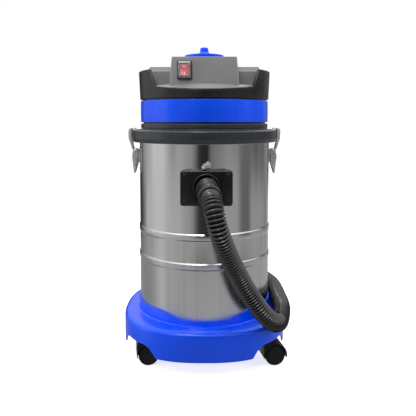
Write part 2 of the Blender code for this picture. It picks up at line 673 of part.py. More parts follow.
def make_switch():
    frame = empty("switch_frame", switch_frame())
    lift = GAP + 0.0002
    outer = (SWITCH_WIDTH / 2, SWITCH_HEIGHT / 2)
    bezel = lofted([box_ring(0.0135, 0.0160, -0.016, 0.001), box_ring(0.0135, 0.0160, lift, 0.001),
                    box_ring(*outer, lift, 0.002), box_ring(*outer, 0.0045, 0.002),
                    box_ring(outer[0] - 0.002, outer[1] - 0.002, 0.0065, 0.0015)])
    bezel_object = solid("switch_bezel", bezel, "black_plastic", None, frame)
    well = block((-ROCKER_WIDTH / 2 - 0.0005, -ROCKER_HEIGHT / 2 - 0.0005, -0.013),
                 (ROCKER_WIDTH / 2 + 0.0005, ROCKER_HEIGHT / 2 + 0.0005, 0.020))
    shape_with(bezel_object, "rocker_well", well)
    half = ROCKER_HEIGHT / 2 - 0.0008
    outline = [(-half, 0.0045), (0.0, 0.0022), (half, 0.0045), (half - 0.0015, -0.0015), (0.0035, -0.0080),
               (-0.0035, -0.0080), (-half + 0.0015, -0.0015)]
    sideways = Matrix(((0, 0, 1, 0), (1, 0, 0, 0), (0, 1, 0, 0), (0, 0, 0, 1)))
    tilt = Matrix.Rotation(-ROCKER_TILT, 4, "X")
    solid("switch_rocker", prism(outline, -ROCKER_WIDTH / 2, ROCKER_WIDTH / 2), "red_plastic", tilt @ sideways, frame)
    dome = lofted([box_ring(outer[0] - 0.0028, outer[1] - 0.0022, 0.0068, 0.0015),
                   box_ring(outer[0] - 0.0038, outer[1] - 0.0032, 0.0115, 0.0020)])
    boot = solid("switch_dust_cover", dome, "clear_plastic", None, frame)
    inside = lofted([box_ring(outer[0] - 0.0036, outer[1] - 0.0030, 0.0050, 0.0012),
                     box_ring(outer[0] - 0.0046, outer[1] - 0.0040, 0.0107, 0.0015)])
    shape_with(boot, "dust_cover_hollow", inside)


def make_cap_and_gland():
    cap = [(0, CAP_BOTTOM), (CAP_RADIUS, CAP_BOTTOM), (CAP_RADIUS, CAP_RIM - 0.0015), (CAP_RADIUS - 0.0015, CAP_RIM),
           (0.0155, 0.7065), (0.0105, 0.7140), (0, 0.7140)]
    solid("top_cap", turned(cap, HIDDEN_FACETS, closed=False), "blue_plastic")
    screw = [(0, 0.7143), (0.0102, 0.7143), (0.0092, 0.7225), (0.0078, TOTAL_HEIGHT), (0, TOTAL_HEIGHT)]
    solid("top_cap_screw", turned(screw, 16, closed=False), "blue_plastic")
    gland = [(0.0045, -0.010), (0.0080, -0.010), (0.0080, GAP), (0.0125, GAP), (0.0125, 0.006), (0.0085, 0.009),
             (0.0065, 0.026), (0.0045, 0.026)]
    solid("cable_gland", turned(gland, 12), "rubber", gland_frame())


# ---- inside the head and the barrel -------------------------------------------------------------
def make_fan():
    wheel = [(0, 0.5300), (0.0080, 0.5300), (0.0120, 0.5400), (0.0600, 0.5460), (0.0600, 0.5480), (0.0050, 0.5480),
             (0.0050, 0.6480), (0, 0.6480)]
    rotor = solid("fan_rotor", turned(wheel, 16, closed=False), "motor_steel")
    blades = joined([(block((0.018, -0.0008, 0.5330), (0.058, 0.0008, 0.5470)),
                      Matrix.Rotation(math.tau * turn / 8, 4, "Z")) for turn in range(8)])
    shape_with(rotor, "fan_blades", blades, "UNION")


def make_motor():
    plate = [(0.042, DECK_TOP + GAP), (0.085, DECK_TOP + GAP), (0.085, 0.5173), (0.042, 0.5173)]
    solid("motor_mount_plate", turned(plate, SMALL_FACETS), "motor_steel")
    gasket = [(0.060, 0.5176), (0.072, 0.5176), (0.072, 0.5206), (0.060, 0.5206)]
    solid("motor_gasket", turned(gasket, SMALL_FACETS), "rubber")
    housing = [(0.069, 0.5209), (0.072, 0.5209), (0.072, 0.560), (0.0075, 0.560), (0.0075, 0.557), (0.069, 0.557)]
    shell = solid("fan_housing", turned(housing, SMALL_FACETS), "motor_steel")
    vents = joined([(block((0.050, -0.008, 0.551), (0.090, 0.008, 0.555)), Matrix.Rotation(math.tau * turn / 4, 4, "Z"))
                    for turn in range(4)])
    shape_with(shell, "fan_vents", vents)
    body = [(0.0057, 0.5603), (0.047, 0.5603), (0.047, 0.628), (0.030, 0.640), (0.0057, 0.640)]
    solid("motor_body", turned(body, SMALL_FACETS), "motor_steel")
    make_fan()
    foam = [(0.112, DECK_TOP + GAP), (0.142, DECK_TOP + GAP), (0.142, 0.560), (0.112, 0.560)]
    solid("exhaust_foam", turned(foam, HIDDEN_FACETS), "foam")


def make_float_and_filter():
    cage = [(0.0335, 0.440), (0.0335, 0.5067), (0.0560, 0.5067), (0.0560, DECK_UNDER - GAP), (0.0200, DECK_UNDER - GAP),
            (0.0200, 0.5072), (0.0310, 0.5072), (0.0310, 0.4430), (0.0080, 0.4430), (0.0080, 0.440)]
    cage_object = solid("float_cage", turned(cage, SMALL_FACETS), "white_plastic")
    windows = joined([(block((0.020, -0.009, 0.4480), (0.045, 0.009, 0.5000)),
                       Matrix.Rotation(math.tau * turn / 4, 4, "Z")) for turn in range(4)])
    shape_with(cage_object, "cage_windows", windows)
    middle = 0.4435 + 0.024
    ball = [(0, -0.024)] + [(0.024 * math.cos(math.radians(a)), 0.024 * math.sin(math.radians(a)))
                            for a in (-60, -30, 0, 30, 60)] + [(0, 0.024)]
    solid("float_ball", turned(ball, 16, closed=False), "white_plastic", moved(0, 0, middle))
    frame = [(0.1310, 0.4960), (0.1510, 0.4960), (0.1510, 0.5040), (0.1310, 0.5040)]
    solid("filter_ring", turned(frame, HIDDEN_FACETS), "black_plastic")
    cloth = [(0, 0.330), (0.0900, 0.330), (0.1050, 0.345), (0.1290, 0.4957), (0.1270, 0.4957), (0.1030, 0.347),
             (0.0890, 0.332), (0, 0.332)]
    solid("filter_bag", turned(cloth, SMALL_FACETS, closed=False), "filter_cloth")


# ---- latches ------------------------------------------------------------------------------------
def latch_cheek():
    """Side view of the lever's cheek: round about the pin, tapering down to the finger tip."""
    pin = (LATCH_PIN.x, LATCH_PIN.z)
    return [(0.1735, 0.4640)] + arc(pin, 0.0060, 20, 180, 4) + [(0.1592, 0.4520), (0.1675, 0.4230), (0.1690, 0.4230)]


def bail_outline():
    """Side view of the bail's strap, from the hook over the flange down to its pin."""
    outer = [(0.1655, 0.5325), (0.1765, 0.5325), (0.1805, 0.5305), (0.1825, 0.5260), (0.1815, 0.5060), (0.1722, 0.4790),
             (0.1692, 0.4632)]
    inner = [(0.1658, 0.4632), (0.1700, 0.4800), (0.1790, 0.5063), (0.1798, 0.5255), (0.1785, 0.5285),
             (0.1760, 0.5300), (0.1655, 0.5300)]
    return outer + inner


def mirrored(points, side):
    """The outline for the left side is the mirror image, in reverse order."""
    return points if side > 0 else [(-x, z) for x, z in reversed(points)]


def make_latch(name, side):
    def piece(label, outline, half, origin, parent=None):
        frame = moved(side * origin.x, 0, origin.z)
        local = frame.inverted() @ UPRIGHT
        bm = prism(mirrored(outline, side), -half, half)
        bm.transform(local)
        return solid(f"{label}_{name}", bm, "latch_steel", frame, parent)

    def across(x, z, radius, half, facets=10):
        bm = turned([(0, -half), (radius, -half), (radius, half), (0, half)], facets, closed=False)
        bm.transform(moved(side * x, 0, z) @ UPRIGHT)
        return bm

    inner_half = 0.0116
    ear = 0.0015
    base = [(0.150, 0.450), (0.1575, 0.450), (0.1575, 0.4705), (0.1690, 0.4730), (0.1700, 0.4765), (0.1680, 0.4805),
            (0.1640, 0.4815), (0.1575, 0.4810), (0.150, 0.4810)]
    bracket = piece("latch_bracket", base, LATCH_HALF, Vector((0.1575, 0, 0.465)))
    between = block((-0.030, -inner_half, 0.440), (0.030, inner_half, 0.490))
    shape_with(bracket, f"ear_space_{name}", between, place=moved(side * (0.1576 + 0.030), 0, 0))
    for end in (-1, 1):
        trim = block((-0.030, 0, 0.440), (0.030, 0.010, 0.490)) if end > 0 else block((-0.030, -0.010, 0.440),
                                                                                     (0.030, 0, 0.490))
        shape_with(bracket, f"ear_trim_{name}_{end}", trim,
                   place=moved(side * (0.1576 + 0.030), end * (inner_half + ear), 0))
    around = turned([(0, 0.40), (BARREL_RADIUS + GAP, 0.40), (BARREL_RADIUS + GAP, 0.49), (0, 0.49)], closed=False)
    shape_with(bracket, f"bracket_seat_{name}", around)
    shape_with(bracket, f"bracket_bore_{name}", across(LATCH_PIN.x, LATCH_PIN.z, 0.0018, 0.03))
    pin = across(LATCH_PIN.x, LATCH_PIN.z, 0.0015, 0.0158)
    frame = moved(side * LATCH_PIN.x, 0, LATCH_PIN.z)
    pin.transform(frame.inverted())
    solid(f"latch_pin_{name}", pin, "latch_steel", frame)

    lever = piece("latch_lever", latch_cheek(), LATCH_HALF, LATCH_PIN)
    cheek = 0.0015
    channel = [(0.150, 0.500), (0.150, 0.400), (0.1660, 0.400), (0.1660, 0.4300), (0.1718, 0.4545), (0.190, 0.4545),
               (0.190, 0.500)]
    space = prism(mirrored(channel, side), -LATCH_HALF + cheek, LATCH_HALF - cheek)
    space.transform(UPRIGHT)
    shape_with(lever, f"lever_channel_{name}", space)
    holes = joined([(across(LATCH_PIN.x, LATCH_PIN.z, 0.0018, 0.03), Matrix.Identity(4)),
                    (across(BAIL_PIN.x, BAIL_PIN.z, 0.0018, 0.03), Matrix.Identity(4))])
    shape_with(lever, f"lever_holes_{name}", holes)

    bail = piece("latch_bail", bail_outline(), 0.011, BAIL_PIN)
    shape_with(bail, f"bail_bar_{name}", across(BAIL_PIN.x, BAIL_PIN.z, 0.0015, 0.0158), "UNION")


# ---- the whole machine --------------------------------------------------------------------------
def clear_scene():
    for old in list(bpy.data.objects):
        bpy.data.objects.remove(old, do_unlink=True)


def main():
    clear_scene()
    make_tray()
    make_casters()
    make_barrel()
    make_inlet()
    make_lid()
    make_cover()
    make_motor_cover()
    make_switch()
    make_cap_and_gland()
    make_motor()
    make_float_and_filter()
    make_latch("left", -1)
    make_latch("right", 1)
    make_hose()


main()
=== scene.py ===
"""Looks of the wet and dry canister vacuum cleaner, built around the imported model.

Metres, +Z up, front towards -Y. Angles round the barrel start at the front and grow towards +X.
"""

import bisect
import math

import bmesh
import bpy
from mathutils import Matrix, Vector


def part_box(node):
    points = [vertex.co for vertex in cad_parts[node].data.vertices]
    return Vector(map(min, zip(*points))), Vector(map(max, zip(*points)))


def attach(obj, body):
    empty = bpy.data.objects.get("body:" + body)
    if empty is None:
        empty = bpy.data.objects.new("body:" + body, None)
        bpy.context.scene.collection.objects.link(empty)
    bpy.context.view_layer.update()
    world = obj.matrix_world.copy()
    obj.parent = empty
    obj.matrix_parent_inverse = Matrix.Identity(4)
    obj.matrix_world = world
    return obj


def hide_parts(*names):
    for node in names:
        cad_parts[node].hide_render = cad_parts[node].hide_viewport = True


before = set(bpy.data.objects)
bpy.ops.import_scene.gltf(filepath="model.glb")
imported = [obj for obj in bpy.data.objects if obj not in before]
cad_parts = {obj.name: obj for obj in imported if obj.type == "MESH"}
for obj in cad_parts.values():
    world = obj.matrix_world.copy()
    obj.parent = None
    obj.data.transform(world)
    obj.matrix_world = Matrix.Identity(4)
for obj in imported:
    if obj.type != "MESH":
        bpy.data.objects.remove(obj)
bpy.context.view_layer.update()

FINE = 144                  # steps round the large turned pieces
MEDIUM = 64                 # and round the middling ones
GAP = 0.0003                # air left between two pieces that meet
TALL = 0.03                 # half length of a cutter that passes right through a small piece
CORNERS = (("front_left", -1, -1), ("front_right", 1, -1), ("rear_left", -1, 1), ("rear_right", 1, 1))


# ---- shape helpers ----
def rounded(corners, steps=4, closed=True):
    """Replaces each corner (x, y, radius) by an arc that meets both of its sides."""
    points = []
    count = len(corners)
    for index, (x, y, radius) in enumerate(corners):
        here = Vector((x, y))
        if radius <= 0 or (not closed and index in (0, count - 1)):
            points.append((x, y))
            continue
        before = Vector(corners[index - 1][:2]) - here
        after = Vector(corners[(index + 1) % count][:2]) - here
        half = before.angle(after) / 2
        reach = min(radius / math.tan(half), 0.48 * before.length, 0.48 * after.length)
        used = reach * math.tan(half)
        bisector = (before.normalized() + after.normalized()).normalized()
        centre = here + bisector * (used / math.sin(half))
        first = here + before.normalized() * reach - centre
        last = here + after.normalized() * reach - centre
        start = math.atan2(first.y, first.x)
        turn = (math.atan2(last.y, last.x) - start + math.pi) % math.tau - math.pi
        for step in range(steps + 1):
            angle = start + turn * step / steps
            points.append((centre.x + used * math.cos(angle), centre.y + used * math.sin(angle)))
    return points


def swept(section, steps=FINE):
    """A closed skin round +Z; section(angle) gives as many (radius, height) points at each angle."""
    bm = bmesh.new()
    loops = []
    for step in range(steps):
        angle = math.tau * step / steps
        across, along = math.sin(angle), -math.cos(angle)
        loops.append([bm.verts.new((r * across, r * along, z)) for r, z in section(angle)])
    for loop, after in zip(loops, loops[1:] + loops[:1]):
        for here in range(len(loop)):
            below = (here + 1) % len(loop)
            bm.faces.new((loop[here], loop[below], after[below], after[here]))
    bmesh.ops.remove_doubles(bm, verts=bm.verts, dist=1e-6)
    bmesh.ops.recalc_face_normals(bm, faces=bm.faces)
    return bm


def turned(corners, steps=MEDIUM, arc_steps=4):
    """A turned solid from a closed profile of (radius, height, corner radius)."""
    profile = rounded(corners, arc_steps)
    return swept(lambda angle: profile, steps)


def drum(radius, low, high, steps):
    """A plain cylinder, for cutting."""
    return turned([(0, low, 0), (radius, low, 0), (radius, high, 0), (0, high, 0)], steps)


def lofted(rings):
    """A skin through rings of the same number of points, closed with a flat cap at each end."""
    bm = bmesh.new()
    loops = [[bm.verts.new(point) for point in ring] for ring in rings]
    for low, high in zip(loops, loops[1:]):
        for here in range(len(low)):
            after = (here + 1) % len(low)
            bm.faces.new((low[here], low[after], high[after], high[here]))
    bm.faces.new(loops[0])
    bm.faces.new(loops[-1])
    bmesh.ops.recalc_face_normals(bm, faces=bm.faces)
    return bm


def rectangle(half_width, half_depth, radius, height):
    """A ring of points: a rectangle with round corners, at a height."""
    corners = [(x * half_width, y * half_depth, radius) for x, y in ((1, 1), (-1, 1), (-1, -1), (1, -1))]
    return [(x, y, height) for x, y in rounded(corners, 5)]


def round_edge(half_width, half_depth, high, radius, edge, least, steps):
    """The rings of a round upper edge that ends at the height high."""
    rings = []
    for step in range(steps + 1):
        angle = math.pi / 2 * step / steps
        inset = edge * (1 - math.cos(angle))
        rings.append(rectangle(half_width - inset, half_depth - inset, max(radius - inset, least),
                               high - edge + edge * math.sin(angle)))
    return rings


def pillow(half_width, half_depth, low, high, radius, edge, steps=4):
    """A slab with round corners and a round upper edge."""
    return lofted([rectangle(half_width, half_depth, radius, low),
                   *round_edge(half_width, half_depth, high, radius, edge, 0.0004, steps)])


def cutter(half_width, half_depth, low, high, radius, edge=0.0001):
    """A slab with nearly sharp edges, for cutting."""
    return pillow(half_width, half_depth, low, high, radius, edge, 1)


def prism(outline, low, high):
    return lofted([[(x, y, low) for x, y in outline], [(x, y, high) for x, y in outline]])


def mesh_of(name, bm):
    mesh = bpy.data.meshes.new(name)
    bm.to_mesh(mesh)
    bm.free()
    return mesh


def linked(name, data):
    """A new object in the scene."""
    made = bpy.data.objects.new(name, data)
    bpy.context.scene.collection.objects.link(made)
    return made


def joined(shapes):
    """One bmesh that holds each (shape, place) as it is."""
    whole = bmesh.new()
    for shape, place in shapes:
        shape.transform(place)
        part = mesh_of("part", shape)
        whole.from_mesh(part)
        bpy.data.meshes.remove(part)
    return whole


def placed(shape, place):
    return joined([(shape, place)])


def moved(x, y, z):
    return Matrix.Translation((x, y, z))


def facing(direction, at=(0, 0, 0)):
    """A frame at a point whose +Z looks along the direction."""
    return Matrix.Translation(at) @ Vector(direction).to_track_quat("Z", "Y").to_matrix().to_4x4()


UPRIGHT = Matrix.Rotation(math.radians(90), 4, "X")      # lays an XY outline in the XZ plane


def shaded(mesh, angle=35):
    """Smooth, but for edges sharper than the angle."""
    mesh.shade_smooth()
    mesh.set_sharp_from_angle(angle=math.radians(angle))


def piece(name, bm, material, nodes=(), body="root", angle=35):
    """An object made from a bmesh, riding on a body and standing for CAD nodes."""
    mesh = mesh_of(name, bm)
    shaded(mesh, angle)
    made = linked(name, mesh)
    mesh.materials.append(material)
    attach(made, body)
    if nodes:
        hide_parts(*nodes)
    return made


def combine(made, bm, operation):
    """Cuts a shape out of a piece, or adds it, and keeps the result as plain mesh."""
    helper = linked("helper", mesh_of("helper", bm))
    modifier = made.modifiers.new("combine", "BOOLEAN")
    modifier.operation = operation
    modifier.solver = "EXACT"
    modifier.object = helper
    settle(made)
    bpy.data.objects.remove(helper)


def cut(made, *shapes):
    """Takes shapes away from a piece, one after another."""
    for bm in shapes:
        combine(made, bm, "DIFFERENCE")


def settle(made):
    """Applies a piece's modifiers to its mesh."""
    graph = bpy.context.evaluated_depsgraph_get()
    done = bpy.data.meshes.new_from_object(made.evaluated_get(graph))
    made.modifiers.clear()
    made.data = done
    shaded(done)


def soften(made, width, segments=3, limit=40):
    """Rounds the sharp edges of a piece."""
    modifier = made.modifiers.new("soften", "BEVEL")
    modifier.width = width
    modifier.segments = segments
    modifier.limit_method = "ANGLE"
    modifier.angle_limit = math.radians(limit)
    modifier.use_clamp_overlap = True
    settle(made)


def smooth_step(share):
    return share * share * (3 - 2 * share)


# ---- materials ----
class Nodes:
    """A node tree, with short ways to add what the materials and the world use."""

    def __init__(self, tree):
        self.tree = tree

    def add(self, kind, **settings):
        node = self.tree.nodes.new(kind)
        for key, value in settings.items():
            setattr(node, key, value)
        return node

    def fill(self, socket, value):
        """Links a socket to another node's output, or sets it."""
        if isinstance(value, bpy.types.NodeSocket):
            self.tree.links.new(value, socket)
        else:
            socket.default_value = value

    def span(self, value, low, high, start=0.0, end=1.0, **settings):
        """Maps start..end of a value onto low..high."""
        node = self.add("ShaderNodeMapRange", **settings)
        for key, number in (("From Min", start), ("From Max", end), ("To Min", low), ("To Max", high)):
            node.inputs[key].default_value = number
        self.fill(node.inputs["Value"], value)
        return node.outputs["Result"]

    def ramp(self, value, stops):
        node = self.add("ShaderNodeValToRGB")
        elements = node.color_ramp.elements
        while len(elements) < len(stops):
            elements.new(0.5)
        for element, (position, colour) in zip(elements, stops):
            element.position = position
            element.color = (*colour, 1.0)
        self.fill(node.inputs["Fac"], value)
        return node.outputs["Color"]

    def maths(self, operation, first, second):
        node = self.add("ShaderNodeMath", operation=operation)
        self.fill(node.inputs[0], first)
        self.fill(node.inputs[1], second)
        return node.outputs["Value"]

    def mix(self, share, first, second):
        node = self.add("ShaderNodeMix", data_type="RGBA")
        for index, value in ((0, share), (6, first), (7, second)):
            self.fill(node.inputs[index], value)
        return node.outputs[2]

    def parts(self, vector):
        """The X, Y and Z of a vector."""
        node = self.add("ShaderNodeSeparateXYZ")
        self.fill(node.inputs["Vector"], vector)
        return node.outputs


class Look(Nodes):
    """A material in the making."""

    def __init__(self, name, slot):
        self.material = bpy.data.materials.new(name)
        self.material.use_nodes = True
        self.material["slot"] = slot
        super().__init__(self.material.node_tree)
        self.shader = self.tree.nodes["Principled BSDF"]
        self.place = self.add("ShaderNodeTexCoord").outputs["Object"]

    def stretched(self, scale):
        mapping = self.add("ShaderNodeMapping")
        mapping.inputs["Scale"].default_value = scale
        self.fill(mapping.inputs["Vector"], self.place)
        return mapping.outputs["Vector"]

    def noise(self, scale, detail=3.0, vector=None, rough=0.5):
        node = self.add("ShaderNodeTexNoise")
        node.inputs["Scale"].default_value = scale
        node.inputs["Detail"].default_value = detail
        node.inputs["Roughness"].default_value = rough
        self.fill(node.inputs["Vector"], vector or self.place)
        return node.outputs["Fac"]

    def bump(self, height, strength, distance, under=None):
        node = self.add("ShaderNodeBump")
        node.inputs["Strength"].default_value = strength
        node.inputs["Distance"].default_value = distance
        self.fill(node.inputs["Height"], height)
        if under:
            self.fill(node.inputs["Normal"], under)
        return node.outputs["Normal"]

    def set(self, **values):
        """Sets or links the shader's own sockets, Base_Color standing for Base Color."""
        for key, value in values.items():
            self.fill(self.shader.inputs[key.replace("_", " ")], value)


def moulded(name, slot, colour, roughness, grain, depth, spread=0.12, coat=0.0, specular=0.5):
    """Moulded plastic: a fine grain of some depth, mottling of some spread and slightly uneven gloss."""
    made = Look(name, slot)
    dark = tuple(c * (1 - spread) for c in colour)
    light = tuple(min(c * (1 + spread) + 0.002, 1.0) for c in colour)
    mottle = made.noise(14.0, 4.0)
    scuffs = made.noise(60.0, 6.0, made.stretched((1.0, 1.0, 0.25)), 0.7)
    wave = made.bump(made.noise(22.0, 1.0), 0.12, 0.0006)
    made.set(Base_Color=made.ramp(mottle, ((0.3, dark), (0.5, colour), (0.72, light))),
             Roughness=made.span(scuffs, roughness - 0.05, roughness + 0.1, 0.3, 0.8),
             Normal=made.bump(made.noise(grain, 2.0), depth, 0.00025, wave),
             Coat_Weight=coat, Coat_Roughness=0.12, Specular_IOR_Level=specular)
    return made.material


def grey(level):
    return (level, level, level)


def stainless_sheet():
    """Rolled stainless sheet: mirror polished above the ribs, satin below, with upright drawing lines."""
    made = Look("stainless_sheet", "stainless")
    upright = made.noise(110.0, 5.0, made.stretched((1.0, 1.0, 0.012)), 0.65)
    broad = made.noise(26.0, 2.0, made.stretched((1.0, 1.0, 0.1)))
    blend = made.maths("ADD", made.maths("MULTIPLY", upright, 0.6), made.maths("MULTIPLY", broad, 0.4))
    gloss = made.span(made.parts(made.place)["Z"], 0.22, 0.065, 0.285, 0.305)
    lines = made.bump(upright, 0.1, 0.00012)
    sheet = made.noise(9.0, 1.5, made.stretched((1.0, 1.0, 0.28)))
    made.set(Base_Color=made.ramp(blend, ((0.3, grey(0.54)), (0.5, grey(0.62)), (0.72, grey(0.7)))),
             Roughness=made.maths("ADD", gloss, made.span(upright, -0.03, 0.06, 0.3, 0.7)),
             Normal=made.bump(sheet, 0.35, 0.0022, lines), Metallic=1.0)
    return made.material


def plated_steel():
    """Zinc plated steel of the latches and the casters' stems, with faint stains."""
    made = Look("plated_steel", "latch_steel")
    shades = ((0.3, grey(0.58)), (0.55, (0.74, 0.74, 0.73)), (0.8, (0.84, 0.84, 0.83)))
    made.set(Base_Color=made.ramp(made.noise(120.0, 4.0), shades),
             Roughness=made.span(made.noise(300.0), 0.28, 0.44, 0.3, 0.7),
             Normal=made.bump(made.noise(700.0, 2.0), 0.15, 0.0001), Metallic=1.0)
    return made.material


def motor_steel():
    """Darker steel of the motor and its fan, all inside."""
    made = Look("motor_steel_sheet", "motor_steel")
    shades = ((0.3, (0.24, 0.24, 0.25)), (0.7, (0.42, 0.42, 0.43)))
    made.set(Base_Color=made.ramp(made.noise(40.0, 4.0), shades),
             Roughness=made.span(made.noise(200.0), 0.28, 0.45, 0.3, 0.7), Metallic=1.0)
    return made.material


def cloth(name, slot, colour, scale):
    """Felt or foam: dull, with an open grain."""
    made = Look(name, slot)
    weave = made.noise(scale, 4.0)
    made.set(Base_Color=made.ramp(weave, ((0.3, tuple(c * 0.7 for c in colour)), (0.7, colour))),
             Roughness=made.span(weave, 0.85, 1.0), Normal=made.bump(weave, 0.6, 0.0008))
    return made.material


def clear_plastic():
    """The switch's clear cover, slightly hazy and uneven."""
    made = Look("clear_soft_plastic", "clear_plastic")
    haze = made.noise(180.0)
    made.set(Base_Color=made.ramp(haze, ((0.3, (0.86, 0.87, 0.9)), (0.7, (0.95, 0.96, 0.98)))),
             Roughness=made.span(haze, 0.04, 0.16, 0.3, 0.8),
             Normal=made.bump(made.noise(260.0, 2.0), 0.3, 0.0003), Transmission_Weight=0.92, IOR=1.38)
    return made.material


# name, slot, colour, roughness, grain, its depth, spread of the mottling, coat and specular level
BLUE = moulded("blue_moulding", "blue_plastic", (0.0, 0.08, 0.97), 0.24, 900.0, 0.05, 0.04, 0.4, 0.2)
CHARCOAL = moulded("charcoal_moulding", "dark_plastic", (0.0125, 0.0132, 0.0155), 0.24, 1300.0, 0.12, 0.12)
LID = moulded("lid_moulding", "dark_plastic", (0.026, 0.0285, 0.035), 0.24, 1300.0, 0.12, 0.12)
GREY = moulded("grey_moulding", "grey_plastic", (0.232, 0.231, 0.229), 0.44, 1300.0, 0.35, 0.06)
BLACK = moulded("black_moulding", "black_plastic", (0.0055, 0.0055, 0.0065), 0.26, 1100.0, 0.2, 0.2)
HOSE = moulded("hose_moulding", "hose_plastic", (0.0045, 0.0045, 0.005), 0.2, 800.0, 0.05, 0.25, 0.0, 0.65)
CASTER = moulded("caster_moulding", "black_plastic", (0.0035, 0.0035, 0.0045), 0.3, 1100.0, 0.2, 0.2, 0.0,
                 0.25)
RUBBER = moulded("soft_rubber", "rubber", (0.014, 0.014, 0.015), 0.7, 900.0, 0.4, 0.2)
RED = moulded("red_rocker", "red_plastic", (0.62, 0.01, 0.03), 0.22, 900.0, 0.05, 0.08)
WHITE = moulded("white_moulding", "white_plastic", (0.74, 0.74, 0.7), 0.38, 900.0, 0.15, 0.06)
STAINLESS = stainless_sheet()
PLATED = plated_steel()
MOTOR = motor_steel()
CLEAR = clear_plastic()
FOAM = cloth("open_foam", "foam", (0.06, 0.06, 0.065), 400.0)
FELT = cloth("filter_felt", "filter_cloth", (0.74, 0.72, 0.66), 700.0)

# CAD nodes that are shown as they are, with these materials
CARRIED_OVER = {
    BLACK: ("inlet_deflector", "filter_ring"),
    RUBBER: ("barrel_seal", "motor_gasket"),
    MOTOR: ("motor_body", "fan_housing", "fan_rotor", "motor_mount_plate"),
    WHITE: ("float_cage", "float_ball"),
    FOAM: ("exhaust_foam",),
    FELT: ("filter_bag",),
    PLATED: tuple(f"caster_{corner}_{part}" for corner, _, _ in CORNERS for part in ("stem", "axle")),
}


def dress_cad_nodes():
    for material, nodes in CARRIED_OVER.items():
        for node in nodes:
            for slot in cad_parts[node].material_slots:
                slot.material = material


# ---- camera, light and stage ----
EYE = (0.0, -1.2358, 0.55)
EYE_PITCH = math.radians(90 - 3.28)
LENS = 44.19                # mm, on a sensor 36 mm wide
LENS_SHIFT = (0.0089, -0.14)


def make_camera():
    """Nearly level, in front of the machine and just over its lid."""
    camera = linked("camera", bpy.data.cameras.new("camera"))
    camera.data.sensor_width = 36.0
    camera.data.lens = LENS
    camera.data.shift_x, camera.data.shift_y = LENS_SHIFT
    camera.location = EYE
    camera.rotation_euler = (EYE_PITCH, 0.0, 0.0)
    bpy.context.scene.camera = camera


AMBIENT = 0.3              # brightness of the even light; white is 1

# What reflections show round the machine, at three heights. Each stop is an azimuth in degrees from the
# front, growing towards +X, and a brightness.
HIGH_PANELS = (
    (-180, 0.05), (-146, 0.05), (-132, 0.36), (-112, 0.55), (-98, 0.8), (-72, 0.75), (-62, 0.34),
    (-54, 0.25), (-44, 0.42), (-28, 0.33), (-14, 0.28), (-9, 0.02), (6, 0.01), (11, 0.16), (30, 0.08),
    (37, 0.24), (60, 0.25), (75, 0.2), (100, 0.14), (112, 0.22), (125, 0.16), (140, 0.32), (160, 0.1),
    (180, 0.05),
)
LOW_PANELS = (
    (-180, 0.05), (-146, 0.05), (-132, 0.2), (-118, 0.62), (-90, 0.75), (-60, 0.6), (-42, 0.55),
    (-24, 0.4), (-13, 0.12), (-8, 0.03), (5, 0.03), (12, 0.24), (33, 0.42), (58, 0.45), (68, 0.2),
    (82, 0.16), (92, 0.42), (120, 0.42), (140, 0.27), (160, 0.6), (180, 0.4),
)
FLOOR_PANELS = ((-180, 0.45), (-140, 0.3), (-105, 0.34), (-84, 0.64), (-68, 0.5), (-40, 0.46), (180, 0.47))
UNDERFOOT = 0.06            # brightness straight down, then of the white overhead, then of the top
OVERHEAD = 1.0
TOP = 1.8
# Where each height fades into the next, as the sine of the elevation
DOWN_TO_FLOOR = (-0.9, -0.78)
FLOOR_TO_LOW = (-0.24, -0.215)
LOW_TO_HIGH = (-0.165, -0.095)
HIGH_TO_OVERHEAD = (0.16, 0.32)
OVERHEAD_TO_TOP = (0.42, 0.6)


def make_world():
    """Even white light, with upright panels and dark gaps that only reflections show."""
    world = bpy.data.worlds.new("studio")
    bpy.context.scene.world = world
    world.use_nodes = True
    nodes = Nodes(world.node_tree)
    nodes.tree.nodes.clear()
    way = nodes.parts(nodes.add("ShaderNodeTexCoord").outputs["Generated"])
    azimuth = nodes.maths("ARCTAN2", way["X"], nodes.maths("MULTIPLY", way["Y"], -1.0))
    turn = nodes.span(azimuth, 0.0, 1.0, -math.pi, math.pi)

    def panels(stops):
        return nodes.ramp(turn, [((degrees + 180) / 360, grey(bright)) for degrees, bright in stops])

    def by_height(fade, below, above):
        climb = nodes.span(way["Z"], 0.0, 1.0, *fade, interpolation_type="SMOOTHSTEP")
        return nodes.mix(climb, below, above)

    reflected = by_height(LOW_TO_HIGH, panels(LOW_PANELS), panels(HIGH_PANELS))
    reflected = by_height(FLOOR_TO_LOW, panels(FLOOR_PANELS), reflected)
    reflected = by_height(DOWN_TO_FLOOR, (*grey(UNDERFOOT), 1.0), reflected)
    reflected = by_height(HIGH_TO_OVERHEAD, reflected, (*grey(OVERHEAD), 1.0))
    reflected = by_height(OVERHEAD_TO_TOP, reflected, (*grey(TOP), 1.0))

    ray = nodes.add("ShaderNodeLightPath").outputs
    lighting = nodes.mix(ray["Is Glossy Ray"], (*grey(AMBIENT), 1.0), reflected)
    background = nodes.add("ShaderNodeBackground")
    nodes.fill(background.inputs["Color"], nodes.mix(ray["Is Camera Ray"], lighting, (*grey(1.0), 1.0)))
    output = nodes.add("ShaderNodeOutputWorld")
    nodes.fill(output.inputs["Surface"], background.outputs[0])


